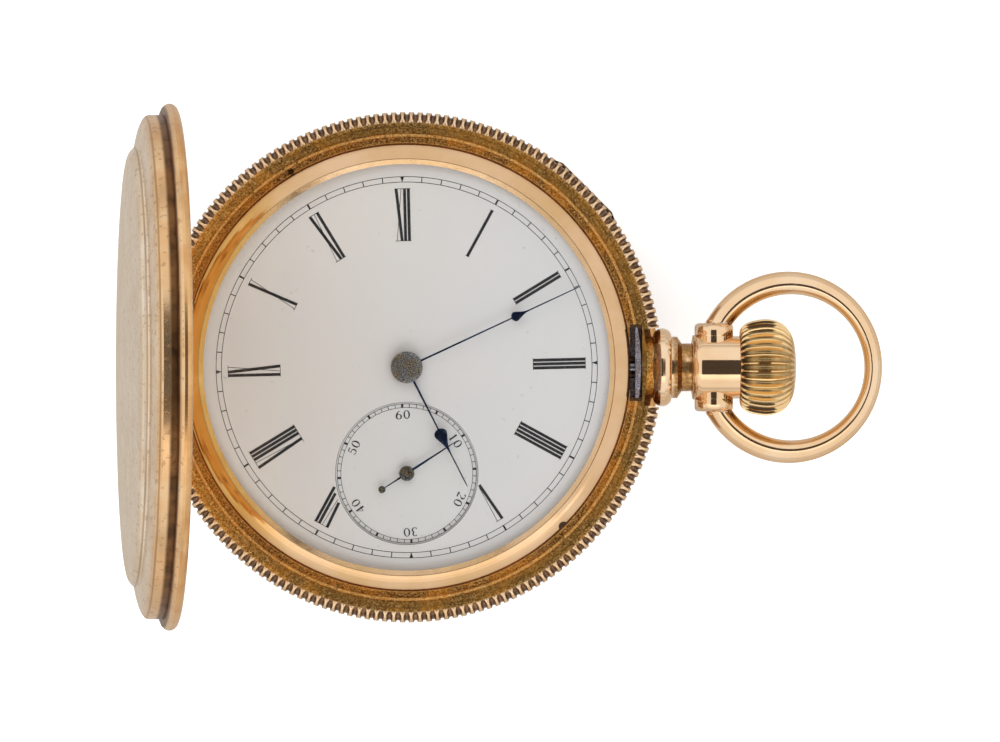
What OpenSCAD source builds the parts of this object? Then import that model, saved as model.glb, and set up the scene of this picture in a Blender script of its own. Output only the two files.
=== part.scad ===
// Full hunter pocket watch: stem wound, lever set, with a coin edge case. It lies on its
// back with the front cover sprung open. Millimetres. The origin is the middle of the
// flat on the back cover. +Z runs to the dial, +X to the pendant, +Y to twelve o'clock.

/* [Case] */
// Radius of the movement that the case is made round
movement_r = 22.4; // [22.2:0.1:23.4]
// Gap between the movement and the bore of the case
movement_gap = 0.2; // [0.1:0.05:0.3]
// Width of the ledge round the bore that carries the flange of the movement
flange_w = 0.7; // [0.6:0.05:0.9]
// Width of the step that the bezel sits on
bezel_seat_w = 1.0; // [0.9:0.05:1.4]
// Width of the trough between the bezel and the snap ridge
trough_w = 0.7; // [0.6:0.05:0.9]
// Width of the snap ridge
ridge_w = 0.25; // [0.2:0.05:0.4]
// Height of the snap ridge above the rim seat
ridge_h = 0.4; // [0.3:0.05:0.5]
// Width of the seat that the cover rims rest on
rim_seat_w = 0.75; // [0.65:0.05:1]
// Depth of the trough below the rim seat
trough_d = 0.4; // [0.3:0.05:0.5]
// Depth of the bezel step below the rim seat
bezel_step_d = 0.8; // [0.7:0.05:0.9]
// Thickness of the bead of the coin edge, outside the case ring
band_t = 1.5; // [1.3:0.1:2]
// Gap between the coin edge and each cover
band_gap = 0.3; // [0.3:0.05:0.5]
// Number of reeds on the coin edge
reed_count = 180; // [90:2:200]
// Depth of the groove between two reeds
reed_d = 0.35; // [0.2:0.05:0.4]
// How far the reeds stand out past the middle of the coin edge
reed_out = 0.25; // [0.1:0.05:0.35]

/* [Covers] */
// Thickness of the wall of the front and back covers
lid_t = 0.6; // [0.5:0.05:0.7]
// Radius of the round bead at the rim of a cover
lid_bead_r = 0.75; // [0.7:0.05:1.1]
// How far the bead stands out of the wall of a cover
lid_bead_out = 1.2; // [1:0.05:1.25]
// Height of the upright wall between the bead and the shoulder
lid_wall_h = 1.5; // [1:0.1:1.8]
// Height of the front cover from its rim to its top
front_lid_h = 5.35; // [5.2:0.05:6.4]
// Height of the crease below the top of the cover
lid_crease_drop = 1.2; // [1:0.05:1.5]
// Distance from the outside of the rim in to the crease
lid_crease_in = 4.4; // [4:0.1:5]
// Width of the sloping border inside the crease
lid_border_w = 1.2; // [1:0.1:3]
// Height of the shallow dome inside the border
lid_dome_h = 0.36; // [0.3:0.02:0.6]
// Radius of the flat in the middle of a cover
lid_flat_r = 9; // [7:0.5:12]
// Gap between a rim and its seat, and round the snap ridge
rim_gap = 0.05; // [0.04:0.01:0.1]
// Side gap between the snap ridge and the inside of the rim
snap_gap = 0.2; // [0.15:0.05:0.3]
// Angle of the front cover from closed, as it stands in the open case
lid_open_angle = 83.3; // [70:0.1:95]
// Thickness of the inner dust cover
cuvette_t = 0.4; // [0.35:0.05:0.5]
// Gap between the back cover and the dust cover
cuvette_gap = 0.5; // [0.4:0.05:0.7]
// Direction of the thumb lip on the back cover, in degrees from the pendant
lip_angle = 45; // [35:1:55]
// How far the middle of the thumb lip stands out of the coin edge
lip_out = 0.3; // [0.2:0.05:0.6]
// Length of the straight edge of the thumb lip
lip_len = 7.6; // [6:0.2:9]

/* [Hinges] */
// Radius of a hinge knuckle
knuckle_r = 0.75; // [0.7:0.05:0.85]
// Radius of a hinge pin
hinge_pin_r = 0.35; // [0.3:0.01:0.4]
// Clearance round a hinge pin
hinge_clear = 0.02; // [0.02:0.01:0.05]
// Clearance round a knuckle and between two knuckles
knuckle_clear = 0.1; // [0.08:0.01:0.14]
// Half length of a hinge
hinge_half = 5; // [4.8:0.1:6]
// Distance of the hinge axis in from the outside of the coin edge
hinge_in = 0.75; // [0.7:0.05:0.9]

/* [Pendant] */
// Radius of the bulge where the pendant meets the case
pendant_base_r = 4.25; // [4:0.05:4.4]
// Length of the bulge out of the coin edge
pendant_base_len = 1.25; // [1.1:0.05:1.6]
// Radius of the step ring after the bulge
pendant_ring_r = 3.35; // [3.1:0.05:3.6]
// Radius of the neck
pendant_neck_r = 2.6; // [2.5:0.05:2.9]
// Radius of the barrel of the pendant
pendant_r = 3.4; // [3.3:0.05:3.6]
// Distance from the coin edge out to the barrel
pendant_start = 3.9; // [3.7:0.1:4.4]
// Length of the barrel
pendant_len = 4.9; // [4.7:0.1:5.6]
// Radius of the bore down the pendant
pendant_bore_r = 1.9; // [1.8:0.05:2]
// Distance from the coin edge out to the pivots of the bow
bow_pivot = 5.86; // [5.8:0.02:6.2]
// Radius of the ear boss that holds the bow
ear_r = 2.1; // [1.7:0.05:2.2]
// Radius of the rounded edge of an ear
ear_round = 0.45; // [0.3:0.05:0.6]
// Distance from the pendant axis to the face of an ear
ear_face = 4.8; // [4.6:0.05:5]

/* [Bow and crown] */
// Radius of the bow, to the middle of its wire
bow_r = 9.2; // [9:0.1:10.5]
// Radius of the wire of the bow
bow_wire_r = 1.2; // [1:0.05:1.3]
// Distance from the pivots out to the middle of the bow circle
bow_reach = 7.94; // [7.8:0.02:8.2]
// Radius of a bow pin in its ear
bow_pin_r = 0.8; // [0.7:0.05:0.9]
// Largest radius of the crown
crown_r = 5.25; // [5:0.05:5.6]
// Length of the crown
crown_len = 6.1; // [5.8:0.1:6.6]
// Radius of the skirt of the crown
crown_skirt_r = 3.95; // [3.9:0.05:4.2]
// Number of ribs round the crown
crown_ribs = 36; // [24:1:40]
// Depth of the groove between two ribs
crown_groove = 0.35; // [0.2:0.05:0.4]
// How far the crown pushes in to release the front cover
press_travel = 0.35; // [0.25:0.05:0.4]
// Radius of the winding stem
stem_r = 0.7; // [0.6:0.05:0.75]

/* [Bezel and crystal] */
// Thickness of the bezel flange that the crystal rests on
bezel_flange_t = 0.8; // [0.7:0.05:0.9]
// How far the flange covers the edge of the dial
bezel_over_dial = 0.3; // [0.2:0.05:0.5]
// Width of the lip that the crystal rests on
crystal_seat_w = 0.5; // [0.45:0.05:0.6]
// Height of the polished ring of the bezel above the flange
bezel_crown_h = 0.4; // [0.3:0.05:0.6]
// Thickness of the crystal
crystal_t = 0.8; // [0.6:0.05:1]
// Rise of the dome of the crystal
crystal_rise = 0.55; // [0.5:0.05:0.8]

/* [Dial and hands] */
// Thickness of the enamel dial
dial_t = 0.9; // [0.8:0.05:1]
// Radius of the sunk seconds dial that shows
seconds_r = 7.75; // [7.4:0.05:8]
// Depth of the seconds dial below the dial
seconds_sink = 0.45; // [0.35:0.05:0.5]
// Distance from the dial centre down to the seconds centre
seconds_off = 11.5; // [11.4:0.02:11.6]
// Length of the minute hand
minute_len = 20.8; // [19:0.1:21]
// Length of the hour hand
hour_len = 14.4; // [13:0.1:15]
// Length of the seconds hand
seconds_len = 6.4; // [5.5:0.1:6.6]
// Thickness of a hand
hand_t = 0.12; // [0.1:0.01:0.15]
// Direction of the minute hand, in degrees from three o'clock
minute_at = 25; // [0:1:359]
// Direction of the hour hand
hour_at = -63; // [-180:1:180]
// Direction of the seconds hand
seconds_at = 33; // [0:1:359]

/* [Movement plates] */
// Thickness of the pillar plate at its recess
plate_t = 1.0; // [0.9:0.05:1.1]
// Depth of the recess under the dial for the hand gearing
recess_d = 1.1; // [1.1:0.05:1.3]
// Radius of that recess
recess_r = 14; // [13.5:0.1:15]
// Space between the pillar plate and the top plate
train_h = 3.0; // [3:0.05:3.3]
// Thickness of the top plate and barrel bridge
top_plate_t = 1.1; // [1:0.05:1.3]
// How far the edge of the top plate lies in from the edge of the movement
top_plate_in = 1.0; // [0.6:0.05:1.2]
// Space between the top plate and the balance cock
balance_h = 2.6; // [2.6:0.05:2.9]
// Thickness of the balance cock
cock_t = 1.0; // [0.9:0.05:1.2]
// Thickness of the regulator
regulator_t = 0.35; // [0.3:0.05:0.4]
// Radius of a pillar
pillar_r = 0.9; // [0.7:0.05:1]
// Distance of the pillars in from the edge of the top plate
pillar_in = 1.2; // [1.1:0.05:1.5]
// Radius of a jewel
jewel_r = 0.7; // [0.6:0.05:0.8]
// Thickness of a jewel
jewel_t = 0.5; // [0.4:0.05:0.6]
// Radius of a pivot that runs in a jewel
pivot_r = 0.18; // [0.15:0.01:0.2]
// Running clearance of pivots and arbors in their holes
run_clear = 0.05; // [0.04:0.01:0.08]
// Radius of an arbor of the train
arbor_r = 0.35; // [0.3:0.01:0.4]

/* [Train] */
// Tooth module of the centre wheel
centre_m = 0.19; // [0.188:0.001:0.191]
// Tooth module of the barrel
barrel_m = 0.22667; // [0.225:0.0005:0.2285]
// Direction of the barrel from the centre
barrel_dir = 46; // [45:0.5:47]
// Tooth module of the third wheel
third_m = 0.145; // [0.144:0.0005:0.1455]
// Tooth module of the fourth wheel
fourth_m = 0.12; // [0.118:0.0005:0.1205]
// Direction of the escape wheel from the fourth wheel
escape_dir = 155; // [153:0.5:157]
// Radius of the escape wheel
escape_r = 3.4; // [3.2:0.05:3.45]
// Distance from the escape wheel to the pallet arbor
pallet_dist = 3.93; // [3.9:0.01:4]
// Direction from the escape wheel to the pallets and the balance
pallet_dir = 120; // [118:0.5:122]
// Distance from the pallet arbor to the balance staff
balance_dist = 4.2; // [4.18:0.01:4.3]
// Radius of the drum of the barrel
drum_r = 8.5; // [8.2:0.05:8.55]
// Outer radius of the balance rim
balance_r = 8.2; // [7.8:0.05:8.25]
// Width of the balance rim
balance_rim = 0.8; // [0.6:0.05:1]
// Thickness of the balance rim
balance_t = 0.8; // [0.6:0.05:0.85]
// Turns of the hairspring
hairspring_turns = 6; // [5:1:6]
// Pitch of the hairspring
hairspring_pitch = 0.5; // [0.49:0.01:0.52]
// Thickness of the hairspring strip
hairspring_t = 0.08; // [0.05:0.01:0.08]

/* [Winding and hand setting] */
// Distance of the crown wheel in from the edge of the movement
crown_wheel_in = 5.0; // [4.9:0.05:5.1]
// Middle radius of the upright teeth of the crown wheel
contrate_r = 2.15; // [2.1:0.05:2.2]
// Tooth module of the minute wheel and cannon pinion
minute_m = 0.16667; // [0.165:0.0005:0.168]
// Direction of the minute wheel from the centre
minute_dir = 30; // [28:1:32]
// Direction of the setting lever
lever_dir = -45.4; // [-48:0.2:-43]
// Width of the setting lever
lever_w = 2.0; // [1.8:0.05:2.1]
// How far the setting lever pulls out
lever_travel = 1.5; // [1.2:0.1:1.5]
// Half length of the head of the lock spring
lock_half = 3.8; // [3.4:0.1:4]
// How far the middle of that head lies towards twelve
lock_off = 0.5; // [0.3:0.05:0.6]

/* [Hidden] */
$fn = 96;

gold = "#E2B582";
worn_gold = "#8A6430";
steel = "#5A6068";
blued = "#1E2A44";
brass = "#C9A85A";
nickel = "#B9B7AE";
enamel = "#E8E4DC";
ruby = "#B02A48";

// Heights, from the back cover up to the dial side
cut = 0.01;
reg_z = lid_t + cuvette_gap + cuvette_t + 0.3;
cock_z = reg_z + regulator_t + run_clear;
cock_top = cock_z + cock_t;
tp_z = cock_top + balance_h;
tp_top = tp_z + top_plate_t;
pp_z = tp_top + train_h;
pp_web = pp_z + plate_t;
pp_top = pp_web + recess_d;
seat_drop = 1.0;
zf = pp_top + seat_drop;
stem_z = pp_z - 0.2;
zb = 2 * stem_z - zf;
back_lid_h = zb;
dial_z = pp_top;
dial_top = dial_z + dial_t;

// Radii of the case, from the bore out
top_plate_r = movement_r - top_plate_in;
pillar_at_r = top_plate_r - pillar_in;
crown_wheel_x = movement_r - crown_wheel_in;
bore_r = movement_r + movement_gap;
flange_r = bore_r + flange_w;
seat_r = flange_r + bezel_seat_w;
trough_r = seat_r + trough_w;
ridge_r = trough_r + ridge_w;
ring_r = ridge_r + rim_seat_w;
band_r = ring_r + band_t;
channel_r = seat_r + 0.3;
channel_lo = zb + trough_d + 0.8;
channel_hi = pp_top - 1.0;
lid_in_r = ridge_r + snap_gap;
lid_out_r = ring_r + 0.25;
hinge_x = -(band_r - hinge_in);
dial_r = movement_r - 0.1;
fit = 0.02;

// Places along the stem and the pendant
pend_x = band_r;
barrel_x = pend_x + pendant_start;
barrel_end = barrel_x + pendant_len;
ear_x = pend_x + bow_pivot;
crown_x = barrel_end - 0.1;
crown_end = crown_x + crown_len;
lock_face = ridge_r + 0.15;
shoulder_x = lock_face + 0.1;
shoulder_r = 1.5;
stem_in_x = crown_wheel_x - contrate_r - 0.05;

// Gearing: places and phases
centre_n = 80;
centre_pn = 12;
barrel_n = 78;
third_n = 75;
third_pn = 10;
fourth_n = 80;
fourth_pn = 10;
escape_pn = 8;
escape_n = 15;
ratchet_n = 54;
crown_n = 30;
contrate_n = 16;
winding_n = 12;
hour_n = 40;
hour_pn = 10;
minute_n = 36;
cannon_n = 12;
function polar(r, a) = [r * cos(a), r * sin(a)];
function mid_dist(na, nb, m) = (na + nb) * m / 2;
function dir_of(v) = atan2(v.y, v.x);
function phase(phi, alpha, na, nb) = phi + 180 + (phi - alpha) * na / nb - 180 / nb;
barrel_at = polar(mid_dist(barrel_n, centre_pn, barrel_m), barrel_dir);
fourth_at = [0, -seconds_off];
d_third = mid_dist(centre_n, third_pn, centre_m);
d_fourth = mid_dist(third_n, fourth_pn, third_m);
third_in = acos((d_third * d_third + seconds_off * seconds_off - d_fourth * d_fourth)
    / (2 * d_third * seconds_off));
third_at = polar(d_third, -90 + third_in);
escape_at = fourth_at + polar(mid_dist(fourth_n, escape_pn, fourth_m), escape_dir);
pallet_at = escape_at + polar(pallet_dist, pallet_dir);
balance_at = pallet_at + polar(balance_dist, pallet_dir);
crown_wheel_at = [crown_wheel_x, 0];
ratchet_m = 2 * norm(barrel_at - crown_wheel_at) / (ratchet_n + crown_n);
winding_m = 2 * contrate_r / contrate_n;
d_minute = mid_dist(cannon_n, minute_n, minute_m);
hour_m = 2 * d_minute / (hour_n + hour_pn);
minute_at_xy = polar(d_minute, minute_dir);
setting_at = minute_at_xy + polar(minute_n * minute_m, -7);
centre_pivot_r = 0.5;

// Levels of the train above the top plate and below the pillar plate
drum_z = tp_top + 0.2;
drum_h = 2.1;
barrel_teeth_z = drum_z + drum_h - 0.5;
centre_wheel_z = pp_z - 0.5;
third_wheel_z = pp_z - 1.6;
fourth_wheel_z = tp_top + 0.6;
escape_wheel_z = tp_top + 1.2;
fork_z = escape_wheel_z + 0.35;
ratchet_z = tp_z - 0.6;
ratchet_t = 0.5;
balance_z = cock_top + 1.0;
motion_z = pp_web + 0.1;
hour_wheel_z = motion_z + 0.6;
hand_gap = 0.12;
seconds_hand_z = dial_top + hand_gap;
hour_hand_z = dial_top + 0.42;
minute_hand_z = hour_hand_z + 0.4;
foot_at = balance_at + [0, -11];
foot_r = 1.9;
tube_bore = arbor_r + 0.1;
cannon_r = tube_bore + 0.3;
hour_bore = cannon_r + 0.1;
hour_tube_r = hour_bore + 0.4;
crystal_r = movement_r + 0.05;
flange_in = dial_r - bezel_over_dial;
crystal_z = dial_top + 0.15 + bezel_flange_t;
bezel_out = seat_r - 0.1;

// Pillars under the top plate, and the three under the barrel bridge
plate_pillars = [for (a = [82, 150, 245, 325]) polar(pillar_at_r, a)];
bridge_r = 11.5;
bridge_pillars = [for (a = [75, 150, -5]) barrel_at + polar(bridge_r - 0.9, a)];

// Arc, and the curve through the middle of three points
function arc(c, r, a0, a1, n) =
    [for (i = [0:n]) c + r * [cos(a0 + (a1 - a0) * i / n), sin(a0 + (a1 - a0) * i / n)]];
function bend(a, b, c, n) = [for (i = [0:n]) let (t = i / n)
    (1 - t) * (1 - t) * a + 2 * t * (1 - t) * b + t * t * c];
function unit(v) = v / norm(v);
function inward(p, q, t) = let (d = unit(q - p)) [-d.y, d.x] * t;
// The open line p moved sideways by t
function shifted(p, t) = [for (i = [0:len(p) - 1])
    p[i] + inward(p[max(0, i - 1)], p[min(len(p) - 1, i + 1)], t)];
function backwards(p) = [for (i = [len(p) - 1:-1:0]) p[i]];

// Outside of a cover of height h above its wall: [radius, height over the rim]
wall_top = 2 * lid_bead_r - 0.05 + lid_wall_h;
bead_at = lid_out_r + lid_bead_out - lid_bead_r;
crease_r = bead_at + lid_bead_r - lid_crease_in;
border_r = crease_r - lid_border_w;
function cover_dome(h) = [
    each bend([lid_out_r, wall_top], [lid_out_r - 0.1, wall_top + 0.8],
        [crease_r, h - lid_crease_drop], 6),
    each bend([crease_r - 0.05, h - lid_crease_drop + 0.05],
        [crease_r - 0.4 * lid_border_w, h - lid_dome_h - 0.08],
        [border_r, h - lid_dome_h], 5),
    for (i = [1:5]) let (t = i / 5)
        [border_r + (lid_flat_r - border_r) * t, h - lid_dome_h * pow(1 - t, 2)]];

// A toothed disc, with one tooth on the line of its angle
module toothed(n, m, r_add = 0.8, r_ded = 1.15, tip = 0.10, foot = 0.27) {
    step = 360 / n;
    r = n * m / 2;
    polygon([for (i = [0:n - 1]) each [
        polar(r - r_ded * m, (i - foot) * step),
        polar(r + r_add * m, (i - tip) * step),
        polar(r + r_add * m, (i + tip) * step),
        polar(r - r_ded * m, (i + foot) * step)]]);
}

module wheel(n, m, t, turn, bore, spokes = 5) {
    r = n * m / 2;
    rotate(turn) difference() {
        linear_extrude(t) toothed(n, m);
        translate([0, 0, -cut]) cylinder(r = bore, h = t + 2 * cut);
        if (spokes > 0) for (i = [0:spokes - 1]) rotate((i + 0.5) * 360 / spokes)
            translate([0.56 * r, 0, -cut]) cylinder(r = 0.25 * r, h = t + 2 * cut);
    }
}

module pinion(n, m, t, turn, bore) {
    rotate(turn) difference() {
        linear_extrude(t) toothed(n, m, 0.75, 1.2, 0.09, 0.20);
        translate([0, 0, -cut]) cylinder(r = bore, h = t + 2 * cut);
    }
}

// An arbor with a thin pivot at each end, from z0 to z1
module arbor(z0, z1, r = arbor_r, p = jewel_t) {
    translate([0, 0, z0 + run_clear]) cylinder(r = r, h = z1 - z0 - 2 * run_clear);
    translate([0, 0, z0 - p + run_clear]) cylinder(r = pivot_r, h = p);
    translate([0, 0, z1 - run_clear]) cylinder(r = pivot_r, h = p);
}

// A bar between two y values, along the axis of a hinge at height z
module knuckle(z, y0, y1, r) {
    translate([hinge_x, y0, z]) rotate([-90, 0, 0]) cylinder(r = r, h = y1 - y0);
}

module both_sides() {
    children();
    mirror([0, 1, 0]) children();
}

// Ends of the knuckles on each hinge, from the middle out
front_case = [1.2, 3.6];
front_lid = [1.3, 3.5];
back_case = [0.5, 4.1];
back_lid = [2.1, 4.0];
back_cuvette = [0.6, 2.0];

// Material taken away round a hinge, and the bore for its pin
module hinge_room(z, y0, y1) {
    both_sides() knuckle(z, y0, y1, knuckle_r + knuckle_clear);
}

module pin_bore(z) {
    knuckle(z, -hinge_half - 1, hinge_half + 1, hinge_pin_r + hinge_clear);
}

module along_x(x) {
    translate([x, 0, stem_z]) rotate([0, 90, 0]) children();
}

// A cover of height h with its rim at height 0 and its top up
module cover_shell(h) {
    dome = cover_dome(h);
    rotate_extrude() difference() {
        polygon([[0, 0], [bead_at, 0],
            each arc([bead_at, lid_bead_r], lid_bead_r, -80, 80, 7),
            [lid_out_r, 2 * lid_bead_r], each dome, [0, h]]);
        polygon([[-1, -1], [lid_in_r, -1], [lid_in_r, wall_top - 0.2],
            each shifted(dome, lid_t), [-1, h - lid_t]]);
    }
}

module front_cover_closed() {
    difference() {
        union() {
            difference() {
                translate([0, 0, zf + rim_gap]) cover_shell(front_lid_h);
                hinge_room(zf, -cut, front_lid[0]);
                hinge_room(zf, front_lid[1], hinge_half + knuckle_clear);
            }
            both_sides() knuckle(zf, front_lid[0], front_lid[1], knuckle_r);
        }
        pin_bore(zf);
        translate([lid_in_r - 1, lock_off - lock_half - 0.3, zf + 0.35])
            cube([1.2, 2 * lock_half + 0.6, 0.6]);
    }
}

module front_cover() {
    color(gold) translate([hinge_x, 0, zf]) rotate([0, -lid_open_angle, 0])
        translate([-hinge_x, 0, -zf]) front_cover_closed();
}

module back_cover() {
    color(gold) difference() {
        union() {
            difference() {
                union() {
                    translate([0, 0, zb - rim_gap]) mirror([0, 0, 1])
                        cover_shell(back_lid_h - rim_gap);
                    thumb_lip();
                }
                hinge_room(zb, -cut, back_lid[0]);
                hinge_room(zb, back_lid[1], hinge_half + knuckle_clear);
            }
            both_sides() knuckle(zb, back_lid[0], back_lid[1], knuckle_r);
        }
        pin_bore(zb);
    }
}

// Lip with a straight edge, tapered into the bead at both ends
module thumb_lip() {
    face = band_r + lip_out;
    corner = [face, lip_len / 2];
    turn = dir_of(corner);
    end = [for (a = [turn + 4.7, -turn - 4.7]) polar(band_r - 0.05, a)];
    root = [for (a = [turn + 4.7, -turn - 4.7]) polar(lid_out_r, a)];
    z = zb - rim_gap - 0.75;
    rotate([0, 0, lip_angle]) difference() {
        translate([0, 0, z]) linear_extrude(0.75)
            polygon([root[1], end[1], [face, -corner.y], corner, end[0], root[0]]);
        for (edge = [z, z + 0.75]) translate([face, 0, edge]) rotate([0, 45, 0])
            cube([0.3, 2 * lip_len, 0.3], center = true);
    }
}

// Inner dust cover: a shallow dish that follows the inside of the back cover
module cuvette() {
    rim_r = trough_r - 0.12;
    rim_z = -trough_d + rim_gap;
    top = back_lid_h - lid_t - cuvette_gap;
    turn = [crease_r - 1.7, back_lid_h - lid_crease_drop - 0.7];
    dish = [
        each bend([rim_r, 0.5 * wall_top], [rim_r - 0.1, wall_top + 0.4], turn, 6),
        each bend([turn.x - 0.05, turn.y + 0.03], [crease_r - 3.7, top - 0.1],
            [lid_flat_r, top], 5)];
    color(gold) difference() {
        union() {
            translate([0, 0, zb]) mirror([0, 0, 1]) rotate_extrude() difference() {
                polygon([[0, rim_z], [rim_r, rim_z], each dish, [0, top]]);
                polygon([[-1, rim_z - 1], [rim_r - cuvette_t, rim_z - 1],
                    each shifted(dish, cuvette_t), [-1, top - cuvette_t]]);
            }
            both_sides() {
                knuckle(zb, back_cuvette[0], back_cuvette[1], knuckle_r);
                translate([hinge_x, back_cuvette[0], zb + rim_gap])
                    cube([-hinge_x - rim_r + 0.3, back_cuvette[1] - back_cuvette[0],
                        0.3]);
            }
        }
        pin_bore(zb);
        hinge_room(zb, -cut, back_cuvette[0] - 0.05);
    }
}

// Ring of the case, with the channel for the lock and lift springs
module case_ring() {
    rotate_extrude() polygon([
        [bore_r, zb + trough_d], [trough_r, zb + trough_d],
        [trough_r, zb - ridge_h], [ridge_r, zb - ridge_h], [ridge_r, zb],
        [ring_r, zb], [ring_r, zf], [ridge_r, zf], [ridge_r, zf + ridge_h],
        [trough_r, zf + ridge_h], [trough_r, zf - trough_d], [seat_r, zf - trough_d],
        [seat_r, zf - bezel_step_d], [flange_r, zf - bezel_step_d],
        [flange_r, pp_top - 0.4], [bore_r, pp_top - 0.4], [bore_r, channel_hi],
        [channel_r, channel_hi], [channel_r, channel_lo], [bore_r, channel_lo]]);
}

spring_eye_r = 0.9;
lock_pivot = polar(channel_r - spring_eye_r - 0.1, -60);
lift_pivot = polar(channel_r - spring_eye_r - 0.1, 124);
lift_at = 165;
lift_half = 0.8;
lever_z = pp_top - 0.6;
module case_middle() {
    tab_y = back_cuvette[1] + 0.2;
    web_x = -hinge_x - ring_r + 1;
    color(worn_gold) {
        difference() {
            union() {
                difference() {
                    case_ring();
                    hinge_room(zf, -cut, hinge_half + knuckle_clear);
                    hinge_room(zb, -cut, hinge_half + knuckle_clear);
                }
                both_sides() {
                    knuckle(zf, -cut, front_case[0], knuckle_r);
                    knuckle(zf, front_case[1], hinge_half, knuckle_r);
                    knuckle(zb, -cut, back_case[0], knuckle_r);
                    knuckle(zb, back_case[1], hinge_half, knuckle_r);
                    translate([hinge_x, -cut, zf - knuckle_r])
                        cube([web_x, front_case[0] + cut, knuckle_r]);
                    translate([hinge_x, front_case[1], zf - knuckle_r])
                        cube([web_x + 0.4, hinge_half - front_case[1], knuckle_r]);
                    translate([hinge_x, -cut, zb])
                        cube([web_x, back_case[0] + cut, knuckle_r]);
                    translate([hinge_x, back_case[1], zb])
                        cube([web_x + 0.4, hinge_half - back_case[1], knuckle_r]);
                }
            }
            pin_bore(zf);
            pin_bore(zb);
            // notch that the tab of the dust cover swings out of
            both_sides() translate([hinge_x + 0.3, back_case[0] + 0.05, zb - ridge_h - 1])
                cube([-hinge_x - bore_r + 1, tab_y - back_case[0] - 0.05,
                    ridge_h + 1.5]);
            // way up for the head of the lock spring
            translate([seat_r - 0.12, lock_off - lock_half - 0.35, channel_lo + 0.2])
                cube([lock_face - seat_r + 0.22, 2 * lock_half + 0.7, zf]);
            // way out for the setting lever
            rotate([0, 0, lever_dir]) translate([bore_r - 1, -lever_w / 2 - 0.2,
                lever_z - 0.1]) cube([seat_r - bore_r + 0.95, lever_w + 0.4, 3]);
            // way up for the tip of the lift spring
            rotate([0, 0, lift_at]) translate([bore_r, -lift_half - 0.2, channel_lo + 0.2])
                cube([ring_r - bore_r - 0.02, 2 * lift_half + 0.4, zf]);
            along_x(bore_r - 1) cylinder(r = pendant_bore_r + 0.7 + fit, h = band_t + 10);
        }
        for (p = [lock_pivot, lift_pivot]) translate([p.x, p.y, channel_lo])
            cylinder(r = 0.4, h = channel_hi - channel_lo);
    }
}

// The bead outside the case ring, cut into upright reeds
module reeded_band() {
    z0 = zb + band_gap;
    z1 = zf - band_gap;
    inner = ring_r + fit;
    reed_r = band_r + reed_out;
    color(gold) difference() {
        intersection() {
            rotate_extrude() polygon([[inner, z0], [inner + 0.5, z0 + 0.05],
                [reed_r - 0.2, z0 + 0.9], [reed_r, z0 + 2], [reed_r, z1 - 2],
                [reed_r - 0.2, z1 - 0.9], [inner + 0.5, z1 - 0.05], [inner, z1]]);
            linear_extrude(zf + 1) polygon([for (i = [0:reed_count - 1]) each [
                polar(reed_r, i * 360 / reed_count),
                polar(reed_r - reed_d, (i + 0.5) * 360 / reed_count)]]);
        }
        translate([0, 0, z0 - 1]) cylinder(r = inner, h = z1 - z0 + 2);
        along_x(ring_r - 2) cylinder(r = pendant_base_r + fit, h = 2 * band_t + 4);
        hinge_room(zf, -cut, hinge_half + knuckle_clear);
        hinge_room(zb, -cut, hinge_half + knuckle_clear);
        translate([hinge_x - 2, -hinge_half - knuckle_clear, zf - knuckle_r - knuckle_clear])
            cube([4, 2 * (hinge_half + knuckle_clear), 3]);
        translate([hinge_x - 2, -hinge_half - knuckle_clear, zb - 3 + knuckle_r
            + knuckle_clear]) cube([4, 2 * (hinge_half + knuckle_clear), 3]);
    }
}

// Room for the rim of a closed cover, with a groove before the bulge of the pendant
module lid_room() {
    rotate_extrude() polygon([[0, 0], [ring_r + 0.65, 0], [ring_r + 0.85, -0.4],
        [ring_r + 1, -0.4], [band_r + 0.1, 0.1], [band_r + 0.1, 9], [0, 9]]);
}

module pendant() {
    base_end = pend_x + pendant_base_len;
    bulge_w = 1.0;
    root = pendant_bore_r + 0.7;
    color(gold) difference() {
        union() {
            difference() {
                along_x(0) rotate_extrude() polygon([
                    [0, ring_r - 1], [pendant_ring_r, ring_r - 1],
                    for (a = [-90:15:90]) [
                        pendant_ring_r + (pendant_base_r - pendant_ring_r) * cos(a),
                        base_end - bulge_w * (1 - sin(a))],
                    [pendant_ring_r, base_end + 0.6], [pendant_ring_r - 0.3, base_end + 0.8],
                    [pendant_neck_r, base_end + 1.1], [pendant_neck_r, barrel_x - 0.5],
                    [pendant_r + 0.1, barrel_x - 0.35], [pendant_r + 0.1, barrel_x - 0.05],
                    [pendant_r, barrel_x], [pendant_r, barrel_end - 0.15],
                    [pendant_r - 0.15, barrel_end], [0, barrel_end]]);
                translate([0, 0, zb - 5]) cylinder(r = ring_r + fit, h = 20);
                translate([0, 0, zf]) lid_room();
                translate([0, 0, zb]) mirror([0, 0, 1]) lid_room();
            }
            along_x(ring_r - 0.35) cylinder(r = root, h = band_t + 1);
            translate([ear_x, 0, stem_z]) rotate([90, 0, 0]) rotate_extrude() polygon([
                [0, -ear_face],
                each arc([ear_r - ear_round, ear_round - ear_face], ear_round, -90, 0, 4),
                each arc([ear_r - ear_round, ear_face - ear_round], ear_round, 0, 90, 4),
                [0, ear_face]]);
        }
        along_x(ring_r - 2) cylinder(r = pendant_bore_r, h = 30);
        both_sides() translate([ear_x, ear_face + 1, stem_z]) rotate([90, 0, 0])
            cylinder(r = bow_pin_r + run_clear, h = 2.6);
    }
}

module pendant_sleeve() {
    color(steel) along_x(pend_x + 1.5) difference() {
        cylinder(r = pendant_bore_r - fit, h = 5);
        translate([0, 0, -1]) cylinder(r = stem_r + 0.25, h = 7);
    }
}

module front_hinge_pin() {
    color(gold) knuckle(zf, -hinge_half, hinge_half, hinge_pin_r);
}

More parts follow.
